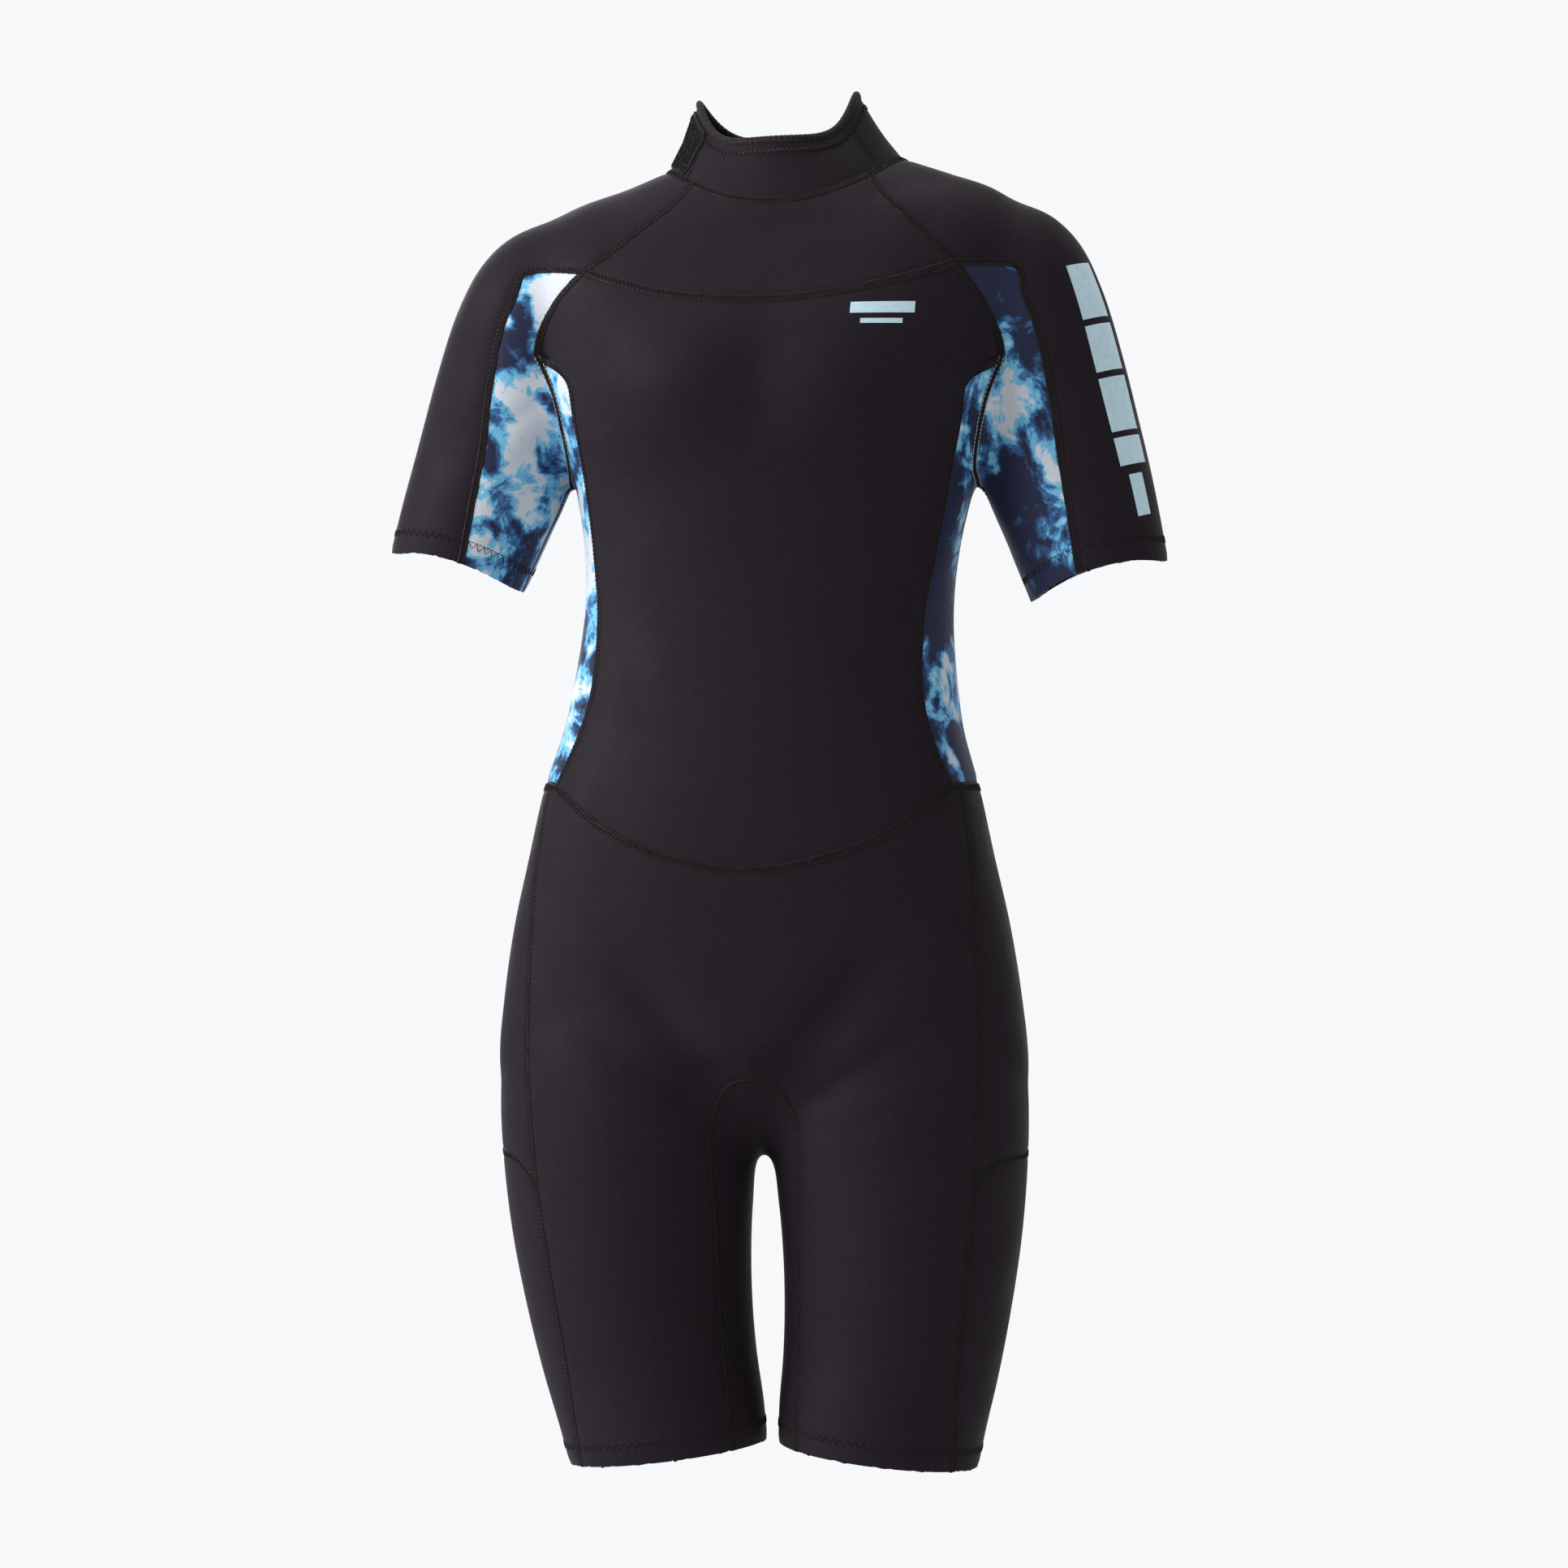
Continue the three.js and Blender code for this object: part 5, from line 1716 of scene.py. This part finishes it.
class WETSUIT_OT_zip(bpy.types.Operator):
    """Make the zip: tapes, coils, stops, backing flap and end patch"""

    bl_idname = "wetsuit.zip"
    bl_label = "Zip"

    def execute(self, context):
        settings = context.scene.wetsuit_zip
        seams = context.scene.wetsuit_seams
        low, high = ZIP_END + 2, ZIP_TOP
        tape = woven("Zip tape", (0.014, 0.013, 0.015), 0.0005)
        coil = nylon("Zip coil", (0.014, 0.014, 0.016))
        plated = metal("Zip metal", settings.metal)
        for name, side in (("left", 1), ("right", -1)):
            shape = zip_slab((side * 0.3, side * 16), (low, high), (4.9, 5.7), 12, 200)
            self.piece(f"zip_tape_{name}", shape, tape, "zip_tape")
            self.coil(f"zip_coil_{name}", side, (low + 5, high - 4), settings.pitch / MM, coil)
        self.stop("zip_top_stop", high - 3.5, high, plated)
        self.stop("zip_bottom_stop", low, low + 4.5, plated)
        shape = zip_slab((-26, 26), (low - 4, high - 1), (6.6, 9.1), 20, 120, (0.04, 0.3))
        self.piece("zip_backing_flap", shape, *WORK["finishes"]["body"])
        shape = zip_slab((-11, 11), (ZIP_END - 22, ZIP_END - 1), (-1.6, 0.4), 22, 20, (0.35, 0.3))
        self.piece("zip_end_patch", shape, tape, "zip_tape")
        self.stitch_tapes(seams, (low, high))
        return {"FINISHED"}

    @staticmethod
    def piece(name, shape, finish_material, slot):
        """One piece of the zip."""
        stock = Stock()
        stock.add(*shape)
        made = stock.make(name)
        facing_out(made)
        soften(made, 50)
        finish(made, "suit", finish_material, slot, name)

    @staticmethod
    def stop(name, low, high, finish_material):
        """A stop, pressed over both coils."""
        half = (high - low) / 2
        made = add_block(name, (-3.2, -4.6, -half), (3.2, -0.4, half))
        bevel = made.modifiers.new("Round", "BEVEL")
        bevel.width = 0.7 * MM
        bevel.segments = 3
        apply_modifiers(made)
        made.data.transform(zip_frame(low + half))
        soften(made, 35)
        finish(made, "suit", finish_material, "zip_metal", name)

    @staticmethod
    def coil(name, side, heights, pitch, finish_material):
        """One half of the coil, wound as a flattened helix."""
        turns = (heights[1] - heights[0]) / pitch
        steps = 9
        at = np.arange(int(turns * steps))
        angle = at * 2 * math.pi / steps + (math.pi if side < 0 else 0)
        height = heights[0] + at * pitch / steps
        points = zip_point(side * (1.3 + 1.15 * np.cos(angle)), height, 2.8 - 1.45 * np.sin(angle))
        stock = Stock()
        stock.add(*sweep(points, np.repeat([[0.0, 0.0, 1.0]], len(points), axis=0), oval(0.36, 0.36, 5)))
        made = stock.make(name)
        facing_out(made)
        soften(made, 70)
        finish(made, "suit", finish_material, "zip_coil", name)

    @staticmethod
    def stitch_tapes(seams, heights):
        """The rows of stitching that hold the back panels to the tapes."""
        sewn = Seamstress(seams)
        height = np.linspace(heights[0] + 2, heights[1] - 12, 160)
        for x in (-9.5, 9.5):
            starts = np.stack([np.full(160, x), np.full(160, 300.0), height], axis=1)
            points, ups = cast(starts, np.broadcast_to((0.0, -1.0, 0.0), (160, 3)))
            sewn.row(points, ups, 0.0, 0.35, False)
        made = sewn.threads.make("zip_stitches")
        finish(made, "suit", spun("Zip thread", seams.colour), "binding_tape")


def cast(places, towards):
    """Where rays meet the suit's outer face, and the directions that it faces there."""
    if "tree" not in WORK:
        kept = WORK["skin"].triangles[WORK["names"] != ""]
        WORK["tree"] = BVHTree.FromPolygons(WORK["skin"].points.tolist(), kept.tolist())
    found, ups = [], []
    for start, way in zip(places, towards):
        place, normal, _, _ = WORK["tree"].ray_cast(Vector(start), Vector(way))
        if place is None:
            raise RuntimeError(f"no cloth towards {tuple(way)} from {tuple(start)}")
        found.append(place)
        ups.append(normal)
    return np.array(found), np.array(ups)


# ---- The slider and its puller ----


def zip_frame(height):
    """The frame of a rigid piece that sits on the zip at a height, in metres."""
    slope = (zip_depth(height + 1) - zip_depth(height - 1)) / 2
    place = Vector((float(side_shift(height)), float(zip_depth(height)), height)) * MM
    turn = Matrix.Rotation(-math.atan(slope), 4, "X") @ Matrix.Rotation(math.atan(TORSO_LEAN), 4, "Y")
    return Matrix.Translation(place) @ turn


def add_block(name, low, high):
    """A box from one corner to the other in the slider's frame, in millimetres."""
    bpy.ops.object.select_all(action="DESELECT")
    low, high = np.array(low, float), np.array(high, float)
    bpy.ops.mesh.primitive_cube_add(size=1, location=(low + high) / 2 * MM, scale=(high - low) * MM)
    made = bpy.context.object
    made.name = name
    bpy.ops.object.transform_apply(location=True, rotation=True, scale=True)
    return made


def pick(made, test, kind="VERT"):
    """Selects the corners, edges or faces whose middles pass a test in millimetres, and enters edit mode."""
    select_only(made)
    bpy.ops.object.mode_set(mode="EDIT")
    bpy.ops.mesh.select_mode(type=kind)
    bpy.ops.mesh.select_all(action="DESELECT")
    bpy.ops.object.mode_set(mode="OBJECT")
    mesh = made.data
    if kind == "FACE":
        for face in mesh.polygons:
            face.select = bool(test(*(face.center / MM)))
    elif kind == "EDGE":
        for edge in mesh.edges:
            a, b = (mesh.vertices[i].co for i in edge.vertices)
            edge.select = bool(test(*((a + b) / 2 / MM)))
    else:
        for vertex in mesh.vertices:
            vertex.select = bool(test(*(vertex.co / MM)))
    bpy.ops.object.mode_set(mode="EDIT")


class WETSUIT_OT_slider(bpy.types.Operator):
    """Make the zip's slider and its puller"""

    bl_idname = "wetsuit.slider"
    bl_label = "Slider and puller"

    def execute(self, context):
        plated = bpy.data.materials["Zip metal"]
        place = zip_frame(SLIDER_HEIGHT)
        slider = self.slider()
        puller = self.puller()
        for made, body in ((slider, "slider"), (puller, "puller")):
            facing_out(made)
            soften(made, 35)
            made.data.transform(place)
            finish(made, body, plated, "zip_metal", f"zip_{body}")
        return {"FINISHED"}

    @staticmethod
    def slider():
        """A plate that narrows downwards, with a raised rim, and an arched bridge over it."""
        plate = add_block("zip_slider", (-5, -0.6, -9), (5, 1.8, 9))
        pick(plate, lambda x, y, z: z < 0)
        bpy.ops.transform.resize(value=(0.68, 1, 1), center_override=(0, 0, 0))
        pick(plate, lambda x, y, z: abs(x) > 2 and abs(y - 0.6) < 0.1 and abs(z) > 8, "EDGE")
        bpy.ops.mesh.bevel(offset=2.2 * MM, segments=5)
        pick(plate, lambda x, y, z: y > 1.7, "FACE")
        bpy.ops.mesh.inset(thickness=0.9 * MM)
        bpy.ops.transform.translate(value=(0, -0.35 * MM, 0))
        bpy.ops.object.mode_set(mode="OBJECT")
        bpy.ops.object.select_all(action="DESELECT")
        bpy.ops.mesh.primitive_torus_add(
            major_radius=5.6 * MM, minor_radius=1.25 * MM, major_segments=40, minor_segments=14,
            location=(0, 1.2 * MM, 0), rotation=(0, math.pi / 2, 0),
        )
        bridge = bpy.context.object
        bpy.ops.object.transform_apply(location=True, rotation=True, scale=True)
        pick(bridge, lambda x, y, z: True)
        bpy.ops.transform.resize(value=(1.25, 0.72, 1), center_override=(0, 1.2 * MM, 0))
        bpy.ops.mesh.bisect(
            plane_co=(0, 0.4 * MM, 0), plane_no=(0, 1, 0), use_fill=True, clear_inner=True
        )
        bpy.ops.object.mode_set(mode="OBJECT")
        select_only(plate, bridge)
        bpy.ops.object.join()
        bevel = plate.modifiers.new("Round", "BEVEL")
        bevel.width = 0.25 * MM
        bevel.segments = 2
        bevel.limit_method = "ANGLE"
        apply_modifiers(plate)
        return plate

    @staticmethod
    def puller():
        """A flat tab with a round end, a grip pressed into it, and an eye that the bridge goes through."""
        hinge = 3.5
        half, top, length = 0.7, 0.7, 44.0
        puller = add_block("zip_puller", (-4.5, hinge - half, top - length), (4.5, hinge + half, top))
        pick(puller, lambda x, y, z: abs(abs(x) - 4.5) < 0.01 and abs(y - hinge) < 0.01 and z < -30, "EDGE")
        bpy.ops.mesh.bevel(offset=4.2 * MM, segments=8)
        pick(puller, lambda x, y, z: abs(abs(x) - 4.5) < 0.01 and abs(y - hinge) < 0.01 and z > -3, "EDGE")
        bpy.ops.mesh.bevel(offset=1.6 * MM, segments=4)
        for height in (-0.7, -13.0):
            pick(puller, lambda x, y, z: True)
            bpy.ops.mesh.bisect(plane_co=(0, 0, height * MM), plane_no=(0, 0, 1))
        for across in (-2.6, 2.6):
            pick(puller, lambda x, y, z: -14 < z < 1, "FACE")
            bpy.ops.mesh.bisect(plane_co=(across * MM, 0, 0), plane_no=(1, 0, 0))
        pick(puller, lambda x, y, z: abs(x) < 2 and abs(y - hinge) > 0.6 and -12.9 < z < -0.8, "FACE")
        bpy.ops.mesh.bridge_edge_loops()
        pick(puller, lambda x, y, z: abs(y - hinge) > 0.6 and z < -14, "FACE")
        bpy.ops.mesh.inset(thickness=1.3 * MM, use_individual=True)
        bpy.ops.transform.resize(value=(1, 0.6, 1), center_override=(0, hinge * MM, 0))
        bpy.ops.object.mode_set(mode="OBJECT")
        bevel = puller.modifiers.new("Round", "BEVEL")
        bevel.width = 0.2 * MM
        bevel.segments = 2
        bevel.limit_method = "ANGLE"
        apply_modifiers(puller)
        return puller


# ---- Hem tapes ----


class WETSUIT_OT_hem_tapes(bpy.types.Operator):
    """Lay the tapes inside the cuffs and the leg hems"""

    bl_idname = "wetsuit.hem_tapes"
    bl_label = "Hem tapes"

    def execute(self, context):
        finish_material = woven("Hem tape", (0.014, 0.013, 0.014), 0.0008)
        for part, place in (("leg", self.on_leg), ("sleeve", self.on_sleeve)):
            points, faces = slab(place, 96, 6, edge=0.3)
            for side, shape in (("left", (points, faces)), ("right", mirrored((points, faces)))):
                name = f"{part}_hem_tape_{side}"
                stock = Stock()
                stock.add(*shape)
                made = stock.make(name)
                facing_out(made)
                soften(made, 50)
                finish(made, "suit", finish_material, "hem_tape", name)
        return {"FINISHED"}

    @staticmethod
    def on_leg(u, v, w):
        """A point of the tape inside the leg hem."""
        turn = between(HEM_TAPE_TURN, u)
        inset = HEM_TAPE_INSET - w
        hem, above = LEG[7], LEG[6]
        share = v * HEM_TAPE_WIDTH / (above[1] - hem[1])
        middle, height, half_width, front, back = (between((hem[k], above[k]), share) for k in range(5))
        across = (half_width - inset) * np.cos(turn)
        depth = (np.where(np.sin(turn) < 0, front, back) - inset) * np.sin(turn)
        cos, sin = math.cos(LEG_HEM_LEAN), math.sin(LEG_HEM_LEAN)
        return np.stack([middle + across * cos, depth, height - across * sin], axis=-1)

    @staticmethod
    def on_sleeve(u, v, w):
        """A point of the tape inside the cuff."""
        turn = between(HEM_TAPE_TURN, u)
        inset = HEM_TAPE_INSET - w
        cuff, above = SLEEVE[1], SLEEVE[2]
        share = v * HEM_TAPE_WIDTH / above[0]
        half_width, half_depth = (between((cuff[k], above[k]), share) - inset for k in (1, 2))
        across, depth = half_width * np.cos(turn), half_depth * np.sin(turn)
        along = v * HEM_TAPE_WIDTH + 1 + HEM_SCOOP * (1 - np.cos(2 * turn)) + HEM_TIP * depth
        return arm_point(along, across, depth)


# ---- Printed marks ----


class WETSUIT_OT_marks(bpy.types.Operator):
    """Press plain pale marks onto the chest and the left sleeve"""

    bl_idname = "wetsuit.marks"
    bl_label = "Printed marks"

    def execute(self, context):
        ink = transfer("Pale transfer", (0.5, 0.68, 0.76))
        stock = Stock()
        for low, high, left, right in ((303.5, 310.5, 55, 95), (297, 300, 62, 88)):
            x, z = np.meshgrid(np.linspace(left, right, 25), np.linspace(low, high, 4), indexing="ij")
            lay_patch(stock, *self.on_chest(x, z))
        made = stock.make("chest_mark")
        facing_out(made)
        finish(made, "suit", ink, "printed_neoprene")
        stock = Stock()
        for top, length, start, end in (
            (188, 34, -50, -17), (150, 28, -50, -17), (118, 34, -50, -17), (80, 18, -50, -17),
            (56, 26, -44, -28),
        ):
            along, turn = np.meshgrid(
                np.linspace(top, top - length, 10), np.radians(np.linspace(start, end, 14)), indexing="ij"
            )
            lay_patch(stock, *self.on_arm(along, turn))
        made = stock.make("sleeve_mark")
        facing_out(made)
        finish(made, "suit", ink, "printed_neoprene")
        return {"FINISHED"}

    @staticmethod
    def on_chest(x, z):
        """Places in front of the chest, and the way towards it."""
        places = np.stack([x, np.full_like(x, -200), z], axis=-1)
        return places, np.broadcast_to((0.0, 1.0, 0.0), places.shape)

    @staticmethod
    def on_arm(along, turn):
        """Places round the left sleeve, well outside it, and the way towards its middle."""
        middle = arm_point(along, 0 * turn, 0 * turn)
        out = arm_point(along, np.cos(turn), np.sin(turn)) - middle
        return middle + out * 110, -out


def lay_patch(stock, places, towards):
    """Adds a thin patch where rays from a grid of places meet the suit."""
    columns, rows = places.shape[0] - 1, places.shape[1] - 1
    found, ups = cast(places.reshape(-1, 3), towards.reshape(-1, 3))
    outer, inner = found + ups * 0.22, found - ups * 0.3

    def place(u, v, w):
        layer = outer if w.mean() > 0.5 else inner
        return layer.reshape(columns + 1, rows + 1, 3)

    stock.add(*slab(place, columns, rows))


# ---- The stage ----


class WETSUIT_OT_stage(bpy.types.Operator):
    """Set up the camera, the lights and a pale floor"""

    bl_idname = "wetsuit.stage"
    bl_label = "Stage"

    def execute(self, context):
        settings = context.scene.wetsuit_stage
        scene = context.scene
        turn = settings.azimuth
        right = Vector((math.cos(turn), math.sin(turn), 0))
        aim = right * 0.0095 + Vector((0, 0, 0.0074))
        camera = bpy.data.objects.new("Camera", bpy.data.cameras.new("Camera"))
        camera.data.lens = settings.lens
        camera.data.sensor_width = 36
        camera.location = aim + Vector((math.sin(turn), -math.cos(turn), 0)) * settings.distance
        camera.rotation_euler = (aim - camera.location).to_track_quat("-Z", "Y").to_euler()
        scene.collection.objects.link(camera)
        scene.camera = camera
        self.lamp(scene, "Key light", (-2.9, -1.3, 1.2), 2.0, 170)
        self.lamp(scene, "Fill light", (2.2, -2.4, 0.4), 2.0, 22)
        self.lamp(scene, "Top light", (0.1, 0.3, 2.6), 1.8, 34)
        self.lamp(scene, "Back light", (-0.8, 2.6, 1.0), 1.8, 40)
        scene.world = self.room()
        scene.view_settings.view_transform = "Standard"
        self.floor(settings.floor_drop)
        return {"FINISHED"}

    @staticmethod
    def room():
        """A dim room with a bright white wall behind the suit."""
        world = bpy.data.worlds.new("Studio")
        world.use_nodes = True
        tree = world.node_tree
        way = tree.nodes.new("ShaderNodeTexCoord").outputs["Generated"]
        parts = tree.nodes.new("ShaderNodeSeparateXYZ")
        tree.links.new(way, parts.inputs[0])
        light = tree.nodes.new("ShaderNodeMath")
        light.operation = "MAXIMUM"
        wall, ground = (1, 0.45, 0.92, 0.27, 0.94), (2, 0.35, -0.1, 0.27, 0.62)
        for i, (axis, start, end, low, high) in enumerate((wall, ground)):
            part = tree.nodes.new("ShaderNodeMapRange")
            part.interpolation_type = "SMOOTHSTEP"
            tree.links.new(parts.outputs[axis], part.inputs["Value"])
            for key, value in (("From Min", start), ("From Max", end), ("To Min", low), ("To Max", high)):
                part.inputs[key].default_value = value
            tree.links.new(part.outputs[0], light.inputs[i])
        background = tree.nodes["Background"]
        background.inputs[0].default_value = (0.99, 1.0, 1.02, 1)
        tree.links.new(light.outputs[0], background.inputs[1])
        return world

    @staticmethod
    def lamp(scene, name, place, size, power):
        """A soft square light that shines on the suit."""
        light = bpy.data.lights.new(name, "AREA")
        light.size = size
        light.energy = power
        made = bpy.data.objects.new(name, light)
        made.location = place
        made.rotation_euler = (-Vector(place)).to_track_quat("-Z", "Y").to_euler()
        scene.collection.objects.link(made)

    @staticmethod
    def floor(drop):
        """A pale round floor."""
        bpy.ops.object.select_all(action="DESELECT")
        bpy.ops.mesh.primitive_circle_add(vertices=128, radius=2.2, fill_type="NGON", location=(0, 0, -drop))
        made = bpy.context.object
        made.name = "floor"
        recipe = Recipe("Pale floor")
        tone = recipe.mix(recipe.noise(3.0), (0.56, 0.565, 0.57), (0.58, 0.585, 0.59))
        recipe.set(Base_Color=tone, Roughness=0.85)
        made.data.materials.append(recipe.material)


class WETSUIT_PT_panel(bpy.types.Panel):
    """The suit's settings and the steps that make it"""

    bl_idname = "WETSUIT_PT_panel"
    bl_label = "Wetsuit"
    bl_space_type = "VIEW_3D"
    bl_region_type = "UI"
    bl_category = "Wetsuit"

    def draw(self, context):
        for group in SETTINGS:
            settings = getattr(context.scene, group)
            box = self.layout.box()
            for key in settings.__annotations__:
                box.prop(settings, key)
        for step in STEPS:
            self.layout.operator(step.bl_idname)


SETTINGS = {
    "wetsuit_cloth": ClothSettings,
    "wetsuit_seams": SeamSettings,
    "wetsuit_zip": ZipSettings,
    "wetsuit_stage": StageSettings,
}
STEPS = (
    WETSUIT_OT_stage,
    WETSUIT_OT_panels,
    WETSUIT_OT_seams,
    WETSUIT_OT_collar,
    WETSUIT_OT_zip,
    WETSUIT_OT_slider,
    WETSUIT_OT_hem_tapes,
    WETSUIT_OT_marks,
)


def register():
    """Adds the settings, the steps and the panel."""
    for made in (*SETTINGS.values(), *STEPS, WETSUIT_PT_panel):
        bpy.utils.register_class(made)
    for name, group in SETTINGS.items():
        setattr(bpy.types.Scene, name, bpy.props.PointerProperty(type=group))


def unregister():
    """Takes them away again."""
    for name in SETTINGS:
        delattr(bpy.types.Scene, name)
    for made in (WETSUIT_PT_panel, *reversed(STEPS), *SETTINGS.values()):
        bpy.utils.unregister_class(made)


def main():
    """Makes the suit."""
    register()
    for step in STEPS:
        group, name = step.bl_idname.split(".")
        getattr(getattr(bpy.ops, group), name)()


if __name__ == "__main__":
    main()
